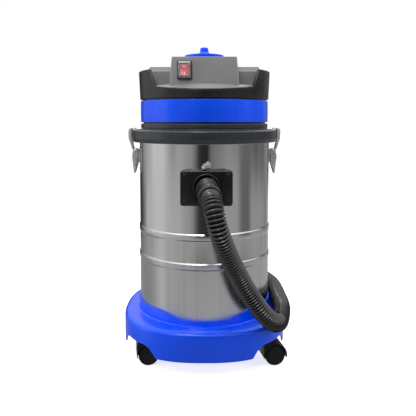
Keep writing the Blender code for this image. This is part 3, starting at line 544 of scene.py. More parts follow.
# name, place, point it looks at, size, brightness next to which white is 1, and whether reflections show it
LIGHTS = (
    ("top", (0.0, 0.1, 4.0), (0, 0, 0.3), (4.0, 4.0), 2.3, False),
    ("side_left", (-2.2, -0.4, 0.7), (0, 0, 0.45), (1.2, 2.4), 3.2, False),
    ("side_right", (2.2, -0.4, 0.7), (0, 0, 0.45), (1.2, 2.4), 3.2, False),
    ("front", (-0.5, -2.0, 2.1), (0, 0, 0.45), (1.0, 0.4), 13.0, True),
)
FLOOR_SIZE = 40.0
FLOOR_DROP = 0.0004         # under the wheels
FLOOR_ALBEDO = 0.9
FLOOR_GLOW = 0.74           # lifts the floor to the white of the background


def make_lights():
    """Soft panels."""
    for name, place, target, size, brightness, reflected in LIGHTS:
        light = bpy.data.lights.new(name, "AREA")
        light.shape = "RECTANGLE"
        light.size, light.size_y = size
        light.energy = brightness * math.pi * size[0] * size[1]
        made = linked(name, light)
        made.matrix_world = facing(Vector(place) - Vector(target), place)
        made.visible_glossy = reflected


def make_floor():
    """A plain pale floor that glows a little, and that neither reflections nor soft light see."""
    bm = bmesh.new()
    bmesh.ops.create_grid(bm, x_segments=1, y_segments=1, size=FLOOR_SIZE)
    floor = linked("floor", mesh_of("floor", bm))
    floor.location.z = -FLOOR_DROP
    pale = bpy.data.materials.new("pale_floor")
    pale.use_nodes = True
    shader = pale.node_tree.nodes["Principled BSDF"].inputs
    shader["Base Color"].default_value = (*grey(FLOOR_ALBEDO), 1.0)
    shader["Roughness"].default_value = 0.9
    shader["Specular IOR Level"].default_value = 0.0
    shader["Emission Color"].default_value = (*grey(1.0), 1.0)
    shader["Emission Strength"].default_value = FLOOR_GLOW
    floor.data.materials.append(pale)
    floor.visible_glossy = False
    floor.visible_diffuse = False


# ---- tray ----
TRAY_LOW, TRAY_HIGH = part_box("base_tray")
TRAY_HALF = TRAY_HIGH.x
TRAY_SQUARENESS = 2.45      # exponent of the outline; 2 is a circle
SHELF = 0.104               # height of the tray's flat top
SKIRT_LOW = TRAY_LOW.z
BARREL_LOW, BARREL_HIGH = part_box("barrel")
RIM_RADIUS = BARREL_HIGH.x
BARREL_RADIUS = RIM_RADIUS - 0.002
COLLAR_HIGH = TRAY_HIGH.z
COLLAR_DIP = 0.013          # how much lower the collar is at the front
DIP_START, DIP_WIDTH = 15, 25       # degrees from the front
SHEET = 0.003               # wall of the tray
ARCH_ANGLE = math.radians(48.75)
ARCH_NEAR, ARCH_FAR = 0.15, 0.24  # reach of the cutters of the arches
CASTER_X = 0.142
CASTER_Y = 0.0985


def tray_edge(angle):
    """How far the tray's rounded square reaches."""
    total = abs(math.sin(angle)) ** TRAY_SQUARENESS + abs(math.cos(angle)) ** TRAY_SQUARENESS
    return TRAY_HALF / total ** (1 / TRAY_SQUARENESS)


def collar_top(angle):
    """The collar's height, low at the front and rising to its full height at the sides and the back."""
    from_front = math.degrees(min(angle, math.tau - angle))
    share = min(max((from_front - DIP_START) / DIP_WIDTH, 0.0), 1.0)
    return COLLAR_HIGH - COLLAR_DIP * (1 - smooth_step(share))


def tray_section(angle):
    """From the middle of the seat, over the collar and the shelf, down the skirt and back underneath."""
    edge = tray_edge(angle)
    top = collar_top(angle)
    seat = BARREL_LOW.z - GAP
    inner = BARREL_RADIUS + GAP
    return rounded([
        (0.0, seat, 0), (inner, seat, 0.0005), (inner, top, 0.0006), (inner + 0.0019, top, 0.0009),
        (inner + 0.003, SHELF, 0.0035), (edge - 0.03, SHELF + 0.0002, 0.02), (edge, SHELF, 0.01),
        (edge + 0.0004, SKIRT_LOW + 0.03, 0.004), (edge, SKIRT_LOW, 0.001),
        (edge - SHEET, SKIRT_LOW, 0.001), (edge - SHEET, SHELF - SHEET, 0.007),
        (inner + SHEET, SHELF - SHEET, 0.001), (inner + SHEET, seat - SHEET, 0.002), (0.0, seat - SHEET, 0),
    ], 5)


def make_tray():
    """The blue shell with an arch over each caster, and the bosses that hold the stems."""
    tray = piece("tray_shell", swept(tray_section, FINE), BLUE, ["base_tray"])
    side = [(0.064, 0.03, 0), (0.06, 0.04, 0.006), (0.053, 0.05, 0.02), (0.044, 0.06, 0.012),
            (0.03, 0.065, 0.012)]
    outline = rounded(side + [(-x, z, r) for x, z, r in reversed(side)], 6, closed=False)
    arches = []
    for _, sign_x, sign_y in CORNERS:
        turn = math.atan2(sign_x * math.sin(ARCH_ANGLE), -sign_y * math.cos(ARCH_ANGLE))
        arches.append((prism(outline, ARCH_NEAR, ARCH_FAR), Matrix.Rotation(turn, 4, "Z") @ UPRIGHT))
    cut(tray, joined(arches))
    boss = [(0.0062, 0.066, 0.0005), (0.009, 0.066, 0.0008), (0.009, 0.092, 0), (0.0045, 0.1025, 0),
            (0.003, 0.1025, 0), (0.003, 0.0945, 0), (0.0062, 0.0945, 0)]
    bosses = [(turned(boss, 32), moved(x * CASTER_X, y * CASTER_Y, 0)) for _, x, y in CORNERS]
    piece("tray_bosses", joined(bosses), BLUE)


# ---- barrel ----
SWAGE_HEIGHTS = (0.234, 0.298)
SWAGE_RISE = 0.0018
WALL = 0.001


def make_barrel():
    """Rolled sheet with two swaged ribs, a rolled bead at the rim and a pressed bottom."""
    radius = BARREL_RADIUS
    outer = [(0.0, BARREL_LOW.z, 0), (radius, BARREL_LOW.z, 0.004)]
    for height in SWAGE_HEIGHTS:
        outer += [(radius, height - 0.0085, 0.004), (radius + SWAGE_RISE, height - 0.005, 0.003),
                  (radius + SWAGE_RISE, height + 0.005, 0.003), (radius, height + 0.0085, 0.004)]
    top = BARREL_HIGH.z
    outer += [(radius, top - 0.0075, 0.001), (RIM_RADIUS, top - 0.006, 0.001), (RIM_RADIUS, top, 0.002),
              (radius - WALL, top, 0.0006), (radius - WALL, BARREL_LOW.z + WALL, 0.003),
              (0.0, BARREL_LOW.z + WALL, 0)]
    piece("barrel_shell", turned(outer, 216, 5), STAINLESS, ["barrel", "barrel_bottom"], angle=60)


# ---- lid, band and head ----
LID_LOW, LID_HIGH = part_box("head_base")
BAND_LOW, BAND_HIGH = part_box("blue_band")
COVER_LOW, COVER_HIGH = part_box("head_cover")
LIP_RADIUS = 0.146         # of the dark groove under and over the blue band
COVER_BOTTOM = COVER_LOW.z + 0.0027
COVER_RADIUS = BAND_HIGH.x + 0.001
COVER_FLARE = COVER_HIGH.x - COVER_RADIUS
HANDLE_TOP = COVER_HIGH.z
HANDLE_INNER_X = 0.131
HANDLE_ANGLE = 52.5         # degrees from the front or back axis, from where the cover is at its full height
RIM_FRONT = 0.618           # its height in front
RIM_CORNER = 0.626          # its height at the foot of the slanting step
RIM_CORNER_ANGLE = 45.0


def make_lid():
    """The dark flange with its neck, and the blue band on it."""
    flange = LID_HIGH.x
    low, deck = LID_LOW.z, 0.5105
    top = 0.529
    profile = [
        (0.07, deck, 0), (0.159, deck, 0.001), (0.159, low + 0.0004, 0.0005), (0.1625, low + 0.0004, 0.0008),
        (0.1625, top - 0.0035, 0.001), (0.1688, top - 0.0035, 0.001), (0.1688, low, 0.0005),
        (flange - 0.0022, low, 0.0016), (flange, low + 0.009, 0.01), (flange, top - 0.0008, 0.005),
        (0.164, top, 0.004), (0.153, top, 0.0012), (0.1505, top + 0.0012, 0.001),
        (0.1505, top + 0.003, 0.0005), (0.1515, top + 0.0042, 0.001), (0.1515, 0.5425, 0.0014),
        (LIP_RADIUS, 0.5425, 0.0003), (LIP_RADIUS, BAND_LOW.z - GAP, 0),
        (LIP_RADIUS - 0.0035, BAND_LOW.z - GAP, 0), (LIP_RADIUS - 0.0035, 0.514, 0.002), (0.07, 0.514, 0),
    ]
    piece("lid_flange", turned(profile, FINE, 5), LID, ["head_base"])
    outer = BAND_HIGH.x
    band = [(outer - 0.0004, BAND_LOW.z, 0.0016), (outer, (BAND_LOW.z + BAND_HIGH.z) / 2, 0.05),
            (outer - 0.0004, BAND_HIGH.z, 0.0016), (outer - 0.009, BAND_HIGH.z, 0.0004),
            (outer - 0.009, BAND_LOW.z, 0.0004)]
    piece("blue_band_shell", turned(band, FINE, 5), BLUE, ["blue_band"])


def rim_height(angle):
    """Low at the front and back, then a slanting step up to the handles."""
    from_axis = math.degrees(math.asin(min(abs(math.sin(angle)), 1.0)))
    if from_axis >= HANDLE_ANGLE:
        return HANDLE_TOP
    corner = math.radians(RIM_CORNER_ANGLE)
    if from_axis <= RIM_CORNER_ANGLE:
        share = (1 - math.cos(math.radians(from_axis))) / (1 - math.cos(corner))
        return RIM_FRONT + (RIM_CORNER - RIM_FRONT) * share
    share = (from_axis - RIM_CORNER_ANGLE) / (HANDLE_ANGLE - RIM_CORNER_ANGLE)
    return RIM_CORNER + (HANDLE_TOP - RIM_CORNER) * share


def cover_outer(height):
    return COVER_RADIUS + COVER_FLARE * (height - COVER_BOTTOM) / (HANDLE_TOP - COVER_BOTTOM)


def cover_inner(angle):
    return min(COVER_RADIUS - 0.0045, HANDLE_INNER_X / max(abs(math.sin(angle)), 1e-6))


def cover_section(angle):
    top = rim_height(angle)
    inner = cover_inner(angle)
    lip = BAND_HIGH.z + GAP
    return rounded([
        (LIP_RADIUS, lip, 0), (LIP_RADIUS, COVER_BOTTOM, 0.0003), (COVER_RADIUS, COVER_BOTTOM, 0.0016),
        (cover_outer(top), top, 0.0022), (inner, top, 0.0012), (inner, 0.603, 0), (inner - 0.004, 0.603, 0),
        (inner - 0.004, lip, 0),
    ], 4)


def make_cover():
    piece("head_rim", swept(cover_section, 288), CHARCOAL, ["head_cover"])


BOX_TOP = 0.689             # the switch housing: heights, half widths and half depths
BOX_BOTTOM = 0.628
BOX_HALF_TOP = 0.0715
BOX_HALF_BOTTOM = 0.0765
BOX_FRONT_TOP = 0.116
BOX_FRONT_BOTTOM = 0.12
BOX_LEAN = math.atan((BOX_FRONT_BOTTOM - BOX_FRONT_TOP) / (BOX_TOP - BOX_BOTTOM))
BOX_FOOT = 0.6265           # inside the ledge
WING_HALF = 0.1275
WING_DEPTH = 0.06
WING_TOP = 0.6735


def ledge_section(angle):
    """The sloping ledge between the rim and the housings, open underneath."""
    reach = cover_inner(angle) - GAP
    edge = min(rim_height(angle), RIM_CORNER) - 0.0004
    return rounded([
        (0.0, 0.6325, 0), (0.1, 0.632, 0.02), (reach - 0.0145, 0.6292, 0.01), (reach, edge, 0.0008),
        (reach, edge - 0.003, 0.0004), (reach - 0.0145, 0.6262, 0.01), (0.1, 0.629, 0.02),
        (0.0, 0.6295, 0),
    ], 4)


def tapered(levels, edge, radius):
    """A housing with a round top edge, through levels of (half width, half depth, height)."""
    rings = [rectangle(width, depth, radius, height) for width, depth, height in levels[:-1]]
    return lofted(rings + round_edge(*levels[-1], radius, edge, 0.001, 5))


def box_front(height):
    """How far forward the housing's sloping front is."""
    share = (height - BOX_BOTTOM) / (BOX_TOP - BOX_BOTTOM)
    return BOX_FRONT_BOTTOM + (BOX_FRONT_TOP - BOX_FRONT_BOTTOM) * share


def make_motor_cover():
    """The grey ledge, the switch housing and the wings, opened behind the switch."""
    cover = piece("motor_cover_shell", swept(ledge_section), GREY, ["motor_cover"])
    box = ((BOX_HALF_BOTTOM, BOX_FRONT_BOTTOM, BOX_FOOT), (BOX_HALF_TOP, BOX_FRONT_TOP, BOX_TOP))
    combine(cover, tapered(box, 0.0018, 0.0045), "UNION")
    wings = ((WING_HALF, WING_DEPTH, BOX_FOOT), (WING_HALF - 0.0005, WING_DEPTH - 0.002, WING_TOP - 0.0115),
             (WING_HALF - 0.001, WING_DEPTH - 0.012, WING_TOP))
    combine(cover, tapered(wings, 0.0008, 0.0035), "UNION")
    cut(cover, placed(cutter(0.014, 0.0165, -0.02, 0.01, 0.001), switch_place()))


# ---- switch ----
SWITCH_X = -0.0427
SWITCH_Z = 0.659
SWITCH_HALF_WIDTH = 0.016
SWITCH_HALF_HEIGHT = 0.02025
ROCKER_TILT = math.radians(8)
ROCKER_HALF = 0.014        # up the face
ROCKER_WIDTH = 0.0106       # half of it
MARK_RISE = 0.0005
SIDEWAYS = Matrix(((0, 0, 1, 0), (1, 0, 0, 0), (0, 1, 0, 0), (0, 0, 0, 1)))     # lays an XY outline in YZ


def switch_place():
    """A frame on the housing's sloping front: X to the right, Y up the face, Z out of it."""
    turn = Matrix.Rotation(math.radians(90) - BOX_LEAN, 4, "X")
    return moved(SWITCH_X, -box_front(SWITCH_Z), SWITCH_Z) @ turn


def make_switch():
    """The black frame with its well, the red rocker with its marks and the clear cover."""
    place = switch_place()
    bezel = pillow(SWITCH_HALF_WIDTH, SWITCH_HALF_HEIGHT, 0.0005, 0.0065, 0.003, 0.0022)
    made = piece("switch_frame", placed(bezel, place), BLACK, ["switch_bezel"])
    cut(made, placed(cutter(0.0112, 0.0152, -0.01, 0.02, 0.0012), place))
    bottom = cutter(0.0135, 0.016, -0.016, -0.0092, 0.001, 0.0003)
    piece("switch_body", placed(bottom, place), BLACK)

    half = ROCKER_HALF
    outline = rounded([(-half, 0.0045, 0.0008), (0.0, 0.0022, 0.02), (half, 0.0045, 0.0008),
                       (half - 0.0015, -0.0015, 0), (0.0035, -0.008, 0.001), (-0.0035, -0.008, 0.001),
                       (-half + 0.0015, -0.0015, 0)], 5)
    tilted = place @ Matrix.Rotation(-ROCKER_TILT, 4, "X")
    body = placed(prism(outline, -ROCKER_WIDTH, ROCKER_WIDTH), tilted @ SIDEWAYS)
    soften(piece("rocker", body, RED, ["switch_rocker"], "rocker"), 0.0007)
    stroke = pillow(0.0007, 0.003, 0.0, MARK_RISE, 0.0004, 0.0002, 2)
    ring = turned([(0.0019, 0.0, 0), (0.0029, 0.0, 0), (0.0029, MARK_RISE, 0.0001),
                   (0.0019, MARK_RISE, 0.0001)], 32)
    marks = [(stroke, tilted @ moved(0, -0.0078, 0.00345)), (ring, tilted @ moved(0, 0.0075, 0.0034))]
    piece("rocker_marks", joined(marks), WHITE, (), "rocker")

    dome = pillow(0.0134, 0.0176, 0.0067, 0.0118, 0.003, 0.0026)
    boot = piece("switch_clear_cover", placed(dome, place), CLEAR, ["switch_dust_cover"])
    cut(boot, placed(pillow(0.0127, 0.0169, 0.004, 0.0111, 0.0025, 0.0022), place))


# ---- cap and gland ----
def make_cap():
    """The blue cap and its slotted knob."""
    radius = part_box("top_cap")[1].x
    bottom = BOX_TOP + GAP
    cap = [(0.0, bottom, 0), (radius - 0.001, bottom, 0.001), (radius, 0.699, 0.002),
           (radius, 0.705, 0.0016), (0.035, 0.7054, 0.01), (0.016, 0.7065, 0.004), (0.0108, 0.714, 0.0012),
           (0.0, 0.714, 0)]
    piece("blue_cap", turned(cap, 96, 5), BLUE, ["top_cap"])
    knob_low, knob_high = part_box("top_cap_screw")
    knob = [(0.0, knob_low.z, 0), (0.0102, knob_low.z, 0.0004), (0.0094, knob_high.z - 0.0015, 0.002),
            (0.0076, knob_high.z, 0.0012), (0.0, knob_high.z, 0)]
    screw = piece("blue_knob", turned(knob, 48, 4), BLUE, ["top_cap_screw"])
    cut(screw, cutter(0.015, 0.0012, 0.7222, 0.73, 0.0004))


def make_gland():
    """The ribbed bend guard at the back of the housing."""
    height = BOX_BOTTOM + 0.022
    place = moved(0.04, box_front(height), height) @ Matrix.Rotation(math.radians(-90) + BOX_LEAN, 4, "X")
    profile = [(0.0045, -0.006, 0), (0.008, -0.006, 0), (0.008, 0.0003, 0), (0.0125, 0.0003, 0.0004),
               (0.0125, 0.006, 0.0012), (0.0092, 0.0075, 0.001)]
    for step in range(5):
        start = 0.0095 + step * 0.0032
        reach = 0.0086 - step * 0.0004
        profile += [(reach, start, 0.0004), (reach, start + 0.0018, 0.0004),
                    (reach - 0.0014, start + 0.002, 0.0002), (reach - 0.0014, start + 0.003, 0.0002)]
    profile += [(0.006, 0.0262, 0.0005), (0.0045, 0.0262, 0.0004)]
    piece("cord_gland", placed(turned(profile, 48, 3), place), RUBBER, ["cable_gland"])


# ---- inlet ----
PLATE_LOW, PLATE_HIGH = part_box("inlet_plate")
INLET_X = (PLATE_LOW.x + PLATE_HIGH.x) / 2
INLET_Z = 0.41
PLATE_BOTTOM = PLATE_LOW.z
PLATE_TOP = 0.4445
PLATE_FRONT = -PLATE_LOW.y
SOCKET_FRONT = 0.177
TAB_X = -0.0015
TAB_TILT = math.radians(-18)


def make_inlet():
    """The inlet's block, screws and ring, and the lock tab on top."""
    middle = (PLATE_BOTTOM + PLATE_TOP) / 2
    half_width, half_height = (PLATE_HIGH.x - PLATE_LOW.x) / 2, (PLATE_TOP - PLATE_BOTTOM) / 2
    block = pillow(half_width, half_height, 0.13, PLATE_FRONT, 0.006, 0.0022)
    plate = piece("inlet_block", placed(block, moved(INLET_X, 0, middle) @ UPRIGHT), BLACK, ["inlet_plate"])
    cut(plate, drum(BARREL_RADIUS + GAP, 0.3, 0.47, FINE))
    nose = moved(INLET_X, 0, INLET_Z) @ UPRIGHT
    recess = [(0.0, 0.12, 0), (0.028, 0.12, 0), (0.028, PLATE_FRONT - 0.0015, 0),
              (0.0325, PLATE_FRONT - 0.001, 0), (0.033, PLATE_FRONT + 0.003, 0),
              (0.0, PLATE_FRONT + 0.003, 0)]
    cut(plate, placed(turned(recess), nose))
    ear = pillow(0.005, 0.004, PLATE_TOP - 0.002, PLATE_TOP + 0.0085, 0.001, 0.0008)
    combine(plate, placed(ear, moved(TAB_X, -0.16, 0)), "UNION")
    head = [(0.0, PLATE_FRONT, 0), (0.0036, PLATE_FRONT, 0.0004), (0.0034, PLATE_FRONT + 0.0014, 0.001),
            (0.0, PLATE_FRONT + 0.0018, 0)]
    screws = [(turned(head, 24), moved(INLET_X + side * 0.046, 0, middle + rise * 0.028) @ UPRIGHT)
              for side in (-1, 1) for rise in (-1, 1)]
    piece("inlet_screws", joined(screws), BLACK)
    socket = [(0.0235, 0.14, 0), (0.0273, 0.14, 0), (0.0273, PLATE_FRONT - 0.0005, 0),
              (0.029, PLATE_FRONT - 0.0005, 0), (0.029, SOCKET_FRONT, 0.0016), (0.0255, SOCKET_FRONT, 0.0008),
              (0.0245, SOCKET_FRONT - 0.002, 0.0006), (0.0235, SOCKET_FRONT - 0.003, 0)]
    piece("inlet_ring", placed(turned(socket, 96), nose), BLACK, ["inlet_socket"])

    pivot = moved(TAB_X, -0.1658, PLATE_TOP + 0.0055)
    outline = rounded([(-0.004, -0.0033, 0.002), (0.015, -0.003, 0.001), (0.0175, 0.002, 0.0015),
                       (0.016, 0.0075, 0.002), (0.002, 0.006, 0.004), (-0.004, 0.0035, 0.002)], 5)
    flag = placed(prism(outline, -0.0014, 0.0014), pivot @ Matrix.Rotation(TAB_TILT, 4, "Y") @ UPRIGHT)
    soften(piece("lock_tab_plate", flag, PLATED, ["inlet_lock_tab"], "lock_tab"), 0.0005)
    rivet = turned([(0.0, 0.0, 0), (0.0022, 0.0, 0.0003), (0.0018, 0.001, 0.0006), (0.0, 0.0012, 0)], 24)
    piece("lock_tab_rivet", placed(rivet, pivot @ moved(0, -0.0013, 0) @ UPRIGHT), PLATED, (), "lock_tab")


# ---- hose ----
HOSE_RADIUS = 0.02
CUFF_RADIUS = 0.024
SHELF_REST = SHELF + HOSE_RADIUS + 0.0005
CUFF_START = Vector((INLET_X, -SOCKET_FRONT - GAP, INLET_Z))
CUFF_END = Vector((0.012, -0.237, 0.398))
COIL_CENTRE = Vector((0.0, 0.415, HOSE_RADIUS + GAP))
COIL_RADIUS = 0.17
COIL_START = -105           # degrees from +X
COIL_SWEEP = 255
COIL_STEPS = 17
END_CUFF_LENGTH = 0.09
LINE_STEPS = 20             # points of the fine line between two knots
RIB_PITCH = 0.007
RIB_STEPS = 8
GROOVE_RADIUS = 0.0154
# Knots from the cuff down the front, round the right side on the shelf and down to the coil
HOSE_ROUTE = (
    (0.012, -0.237, 0.398), (0.0151, -0.2618, 0.393), (0.019, -0.2815, 0.3755),
    (0.0265, -0.286, 0.345), (0.0365, -0.274, 0.315), (0.05, -0.252, 0.28),
    (0.067, -0.229, 0.243), (0.088, -0.21, 0.202), (0.112, -0.197, 0.163),
    (0.134, -0.181, 0.134), (0.151, -0.164, 0.1175), (0.163, -0.145, 0.112),
    (0.1705, -0.123, 0.118), (0.1755, -0.098, 0.1235), (0.178, -0.068, SHELF_REST),
    (0.1785, -0.02, SHELF_REST), (0.1785, 0.03, SHELF_REST), (0.176, 0.076, SHELF_REST),
    (0.166, 0.116, SHELF_REST), (0.146, 0.154, 0.1275), (0.118, 0.186, 0.126),
    (0.084, 0.212, 0.106), (0.052, 0.231, 0.07), (0.022, 0.241, 0.04),
    (-0.0089, 0.2452, 0.0245), (-0.0266, 0.2471, 0.0211),
)


def coil_point(degrees):
    angle = math.radians(degrees)
    return COIL_CENTRE + COIL_RADIUS * Vector((math.cos(angle), math.sin(angle), 0))


def hose_line():
    """Points close together along the hose's middle, from its cuff at the inlet to the one on the floor."""
    knots = [Vector(point) for point in HOSE_ROUTE]
    knots += [coil_point(COIL_START - COIL_SWEEP * step / COIL_STEPS) for step in range(COIL_STEPS + 1)]
    knots = [2 * knots[0] - knots[1], *knots, 2 * knots[-1] - knots[-2]]
    dense = []
    for a, b, c, d in zip(knots, knots[1:], knots[2:], knots[3:]):
        for step in range(LINE_STEPS):
            t = step / LINE_STEPS
            dense.append(0.5 * (2 * b + (c - a) * t + (2 * a - 5 * b + 4 * c - d) * t * t
                                + (3 * b - a - 3 * c + d) * t ** 3))
    dense.append(knots[-2])
    return dense


def walked_along(line):
    """The distance from the start to each point."""
    walked = [0.0]
    for before, after in zip(line, line[1:]):
        walked.append(walked[-1] + (after - before).length)
    return walked


def tube(line, profile, around):
    """A skin round a line, from a list of (distance along it, radius)."""
    walked = walked_along(line)
    headings = [(after - before).normalized() for before, after in zip(line[:1] + line, line[1:] + line[-1:])]
    rings = []
    side = None
    for station, radius in profile:
        index = min(max(bisect.bisect_left(walked, station), 1), len(line) - 1)
        share = (station - walked[index - 1]) / (walked[index] - walked[index - 1])
        centre = line[index - 1].lerp(line[index], share)
        ahead = headings[index - 1].lerp(headings[index], share).normalized()
        side = ahead.orthogonal() if side is None else side - ahead * side.dot(ahead)
        side.normalize()
        other = ahead.cross(side)
        ring = []
        for step in range(around):
            angle = math.tau * step / around
            ring.append(centre + radius * (side * math.cos(angle) + other * math.sin(angle)))
        rings.append(ring)
    return lofted(rings)


def make_hose():
    """The inlet's cuff, the corrugated hose and the cuff at its far end."""
    along = (CUFF_END - CUFF_START).normalized()
    length = (CUFF_END - CUFF_START).length - 0.0008
    cuff = [(0.015, -0.018, 0), (0.0195, -0.018, 0.001), (0.0195, 0.0058, 0), (0.0235, 0.006, 0.0008)]
    start = 0.0085
    for _ in range(5):
        cuff += [(CUFF_RADIUS, start, 0.0006), (CUFF_RADIUS, start + 0.003, 0.0006),
                 (0.0229, start + 0.0036, 0.0004), (0.0229, start + 0.0046, 0.0004)]
        start += 0.0052
    cuff += [(CUFF_RADIUS, start, 0.0008), (CUFF_RADIUS, length - 0.004, 0.002), (0.0222, length, 0.001),
             (0.019, length, 0), (0.015, length, 0)]
    inlet_cuff = piece("inlet_cuff", placed(turned(cuff, 96, 3), facing(along, CUFF_START)), BLACK,
                       ["hose_cuff_inlet"])

    line = hose_line()
    total = walked_along(line)[-1]
    ribs = round(total / RIB_PITCH)
    depth = HOSE_RADIUS - GROOVE_RADIUS
    shape = [(step / RIB_STEPS, GROOVE_RADIUS + depth * math.sin(math.pi * step / RIB_STEPS))
             for step in range(RIB_STEPS)]
    profile = [(total * (rib + share) / ribs, radius) for rib in range(ribs) for share, radius in shape]
    profile.append((total, GROOVE_RADIUS))
    hose = piece("corrugated_hose", tube(line, profile, 28), HOSE, ["hose", "hose_coil"], angle=60)

    heading = Vector((0, -1, 0))
    end_cuff = [(0.015, 0.0, 0), (0.0205, 0.0, 0), (0.0228, 0.0006, 0.0004), (CUFF_RADIUS, 0.003, 0.0012)]
    start = 0.008
    for _ in range(7):
        end_cuff += [(CUFF_RADIUS, start, 0.0005), (0.0232, start + 0.0006, 0.0003),
                     (0.0232, start + 0.0018, 0.0003), (CUFF_RADIUS, start + 0.0024, 0.0005)]
        start += 0.005
    end_cuff += [(CUFF_RADIUS, 0.045, 0.003), (0.0215, 0.052, 0.004), (0.02, END_CUFF_LENGTH, 0.0008),
                 (0.015, END_CUFF_LENGTH, 0.0006)]
    lift = Vector((0, 0, CUFF_RADIUS - HOSE_RADIUS))
    place = facing(heading, coil_point(COIL_START - COIL_SWEEP) + heading * 0.0005 + lift)
    far_cuff = piece("far_cuff", placed(turned(end_cuff, 96, 3), place), BLACK, ["hose_end_cuff"])


# ---- casters ----
CASTER_TURN = math.radians(10)
CASTER_TRAIL = 0.014        # from the stem back to the axle
WHEEL_RADIUS = 0.023
CASTER_HALF = 0.024         # half of the width over both wheels
HOOD_RADIUS = 0.0275
HOOD_INSIDE = 0.0245
HOOD_TOP = 0.0615
WEB_HALF = 0.0045           # the hood's middle wall, between the wheels
# A wheel's profile: radius, distance from the middle of the axle, corner radius
TREAD = [
    (0, 0.0228, 0), (0.0033, 0.0228, 0), (0.0033, 0.005, 0), (0.0205, 0.005, 0.0004),
    (0.0222, 0.0058, 0.0008), (WHEEL_RADIUS, 0.0085, 0.003), (WHEEL_RADIUS, 0.02, 0.003),
    (0.0214, 0.0232, 0.001), (0.0196, 0.0236, 0.0006), (0.019, 0.0226, 0.0005), (0.018, 0.0226, 0.0004),
    (0.0172, 0.0238, 0.0006), (0.006, CASTER_HALF, 0.01), (0, CASTER_HALF, 0),
]


def make_casters():
    """For each corner a hood with its spaces and bores, and two wheels."""
    axle = Vector((CASTER_TRAIL, WHEEL_RADIUS))

    def about(radius, start, end, steps):
        angles = [math.radians(start + (end - start) * step / steps) for step in range(steps + 1)]
        return [(axle.x + radius * math.cos(angle), axle.y + radius * math.sin(angle)) for angle in angles]

    shoulder = about(HOOD_RADIUS, 62, 62, 1)[0]
    outline = [(axle.x + HOOD_RADIUS, 0.018)] + about(HOOD_RADIUS, 0, 62, 14)
    outline += rounded([(*shoulder, 0), (0.0125, 0.0565, 0.006), (0.0085, HOOD_TOP, 0.002),
                        (-0.0085, HOOD_TOP, 0.002), (-0.0102, 0.054, 0.02), (-0.0125, 0.044, 0.01),
                        (-0.0125, 0.018, 0)], 5, closed=False)[1:]
    space = [(axle.x - HOOD_INSIDE, 0.0)] + about(HOOD_INSIDE, 180, 0, 28) + [(axle.x + HOOD_INSIDE, 0.0)]
    for corner, sign_x, sign_y in CORNERS:
        name = f"caster_{corner}"
        place = moved(sign_x * CASTER_X, sign_y * CASTER_Y, 0) @ Matrix.Rotation(CASTER_TURN, 4, "Z")
        hub = place @ moved(axle.x, 0, axle.y)
        inward = hub @ Matrix.Rotation(math.radians(-90), 4, "X")
        block = placed(prism(outline, -CASTER_HALF, CASTER_HALF), place @ UPRIGHT)
        hood = piece(f"{name}_shell", block, CASTER, [f"{name}_hood"], name)
        soften(hood, 0.0016, 3, 30)
        cut(hood, joined([(prism(space, WEB_HALF, TALL), place @ UPRIGHT),
                          (prism(space, -TALL, -WEB_HALF), place @ UPRIGHT)]),
            placed(cutter(0.045, 0.01, -0.01, 0.012, 0.001), place),
            joined([(drum(0.0044, 0.04, 0.07, 24), place), (drum(0.0036, -0.01, 0.01, 24), hub @ UPRIGHT)]))
        for side, way in (("outer", hub @ UPRIGHT), ("inner", inward)):
            piece(f"{name}_tread_{side}", placed(turned(TREAD, 72), way), CASTER, [f"{name}_wheel_{side}"],
                  f"wheel_{corner}_{side}")


# ---- latches ----
LATCH_PIN = (0.1655, 0.4765)        # X of the right one, and Z
BAIL_PIN = (0.1675, 0.4645)
PIN_RADIUS = 0.0015
PIN_HALF = 0.0158
BORE_RADIUS = 0.0018
LATCH_HALF = 0.015          # half of the width of the bracket and the lever
BAIL_HALF = 0.011
LATCH_SHEET = 0.0015


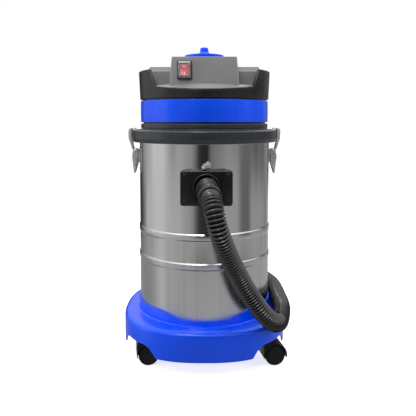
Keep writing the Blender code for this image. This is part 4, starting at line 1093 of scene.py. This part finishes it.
def make_latch(name, side):
    """One toggle latch: bracket, rivets, pins, lever and bail, drawn for the right side and mirrored."""
    def plate(outline, half):
        shown = outline if side > 0 else [(-x, z) for x, z in reversed(outline)]
        return placed(prism(shown, -half, half), UPRIGHT)

    def across(place, radius, half, dome=0.0003):
        profile = [(0, -half, 0), (radius, -half, dome), (radius, half, dome), (0, half, 0)]
        return placed(turned(profile, 24), moved(side * place[0], 0, place[1]) @ UPRIGHT)

    def bore(place):
        return across(place, BORE_RADIUS, TALL, 0)

    outward = Matrix.Rotation(math.radians(90 * side), 4, "Y")
    base = rounded([(0.15, 0.45, 0), (0.1575, 0.45, 0.002), (0.1575, 0.4705, 0.001),
                    (0.169, 0.473, 0.002), (0.17, 0.4765, 0.003), (0.168, 0.4805, 0.003),
                    (0.1575, 0.4815, 0.002), (0.15, 0.4812, 0)], 4)
    bracket = piece(f"bracket_{name}", plate(base, LATCH_HALF), PLATED, [f"latch_bracket_{name}"])
    between = [(0.1576, 0.44), (0.19, 0.44), (0.19, 0.49), (0.1576, 0.49)]
    cut(bracket, plate(between, 0.0116),
        *(placed(plate(between, 0.005), moved(0, end * (0.0131 + 0.005), 0)) for end in (-1, 1)),
        drum(BARREL_RADIUS + GAP, 0.4, 0.49, FINE), bore(LATCH_PIN))
    head = [(0, 0.157, 0), (0.0022, 0.157, 0), (0.002, 0.1588, 0.001), (0, 0.1592, 0)]
    rivets = [(turned(head, 20), moved(0, end * 0.0075, 0.458) @ outward) for end in (-1, 1)]
    piece(f"bracket_rivets_{name}", joined(rivets), PLATED)
    piece(f"pin_{name}", across(LATCH_PIN, PIN_RADIUS, PIN_HALF, 0.0004), PLATED, [f"latch_pin_{name}"])

    cheek = [(0.1735, 0.464, 0.003)]
    for step in range(9):
        angle = math.radians(20 + 160 * step / 8)
        cheek.append((LATCH_PIN[0] + 0.006 * math.cos(angle), LATCH_PIN[1] + 0.006 * math.sin(angle), 0))
    cheek += [(0.1592, 0.452, 0.012), (0.1675, 0.423, 0.0006), (0.169, 0.423, 0.0006)]
    lever = piece(f"lever_{name}", plate(rounded(cheek, 5), LATCH_HALF), PLATED, [f"latch_lever_{name}"],
                  f"lever_{name}")
    soften(lever, 0.0007, 2)
    channel = rounded([(0.15, 0.5, 0), (0.15, 0.4, 0), (0.166, 0.4, 0), (0.166, 0.43, 0.004),
                       (0.1718, 0.4545, 0.001), (0.19, 0.4545, 0), (0.19, 0.5, 0)], 4)
    cut(lever, plate(channel, LATCH_HALF - LATCH_SHEET), bore(LATCH_PIN), bore(BAIL_PIN))

    outer = [(0.1655, 0.5325, 0.0005), (0.1765, 0.5325, 0.004), (0.1805, 0.5305, 0.004),
             (0.1825, 0.526, 0.006), (0.1815, 0.506, 0.02), (0.1722, 0.479, 0.02), (0.1692, 0.4632, 0.0005)]
    inner = [(0.1662, 0.4632, 0.0005), (0.1695, 0.48, 0.02), (0.174, 0.503, 0.01),
             (0.174, 0.53, 0.0015), (0.1655, 0.53, 0.0005)]
    strap = piece(f"bail_{name}", plate(rounded(outer + inner, 4), BAIL_HALF), PLATED, [f"latch_bail_{name}"],
                  f"bail_{name}")
    soften(strap, 0.0005, 2, 50)
    window = cutter(0.0065, 0.01, 0.15, 0.195, 0.003)
    through = moved(0, 0, 0.4975) @ outward @ Matrix.Rotation(math.radians(90), 4, "Z")
    cut(strap, placed(window, through))
    piece(f"bail_pin_{name}", across(BAIL_PIN, PIN_RADIUS, PIN_HALF), PLATED, (), f"bail_{name}")


# ---- the whole machine ----
def main():
    make_camera()
    make_hose()
    make_world()
    make_floor()
    make_lights()
    bpy.context.scene.view_settings.view_transform = "Standard"
    dress_cad_nodes()
    make_tray()
    make_casters()
    make_barrel()
    make_inlet()
    make_lid()
    make_cover()
    make_motor_cover()
    make_switch()
    make_cap()
    make_gland()
    for name, side in (("left", -1), ("right", 1)):
        make_latch(name, side)


main()
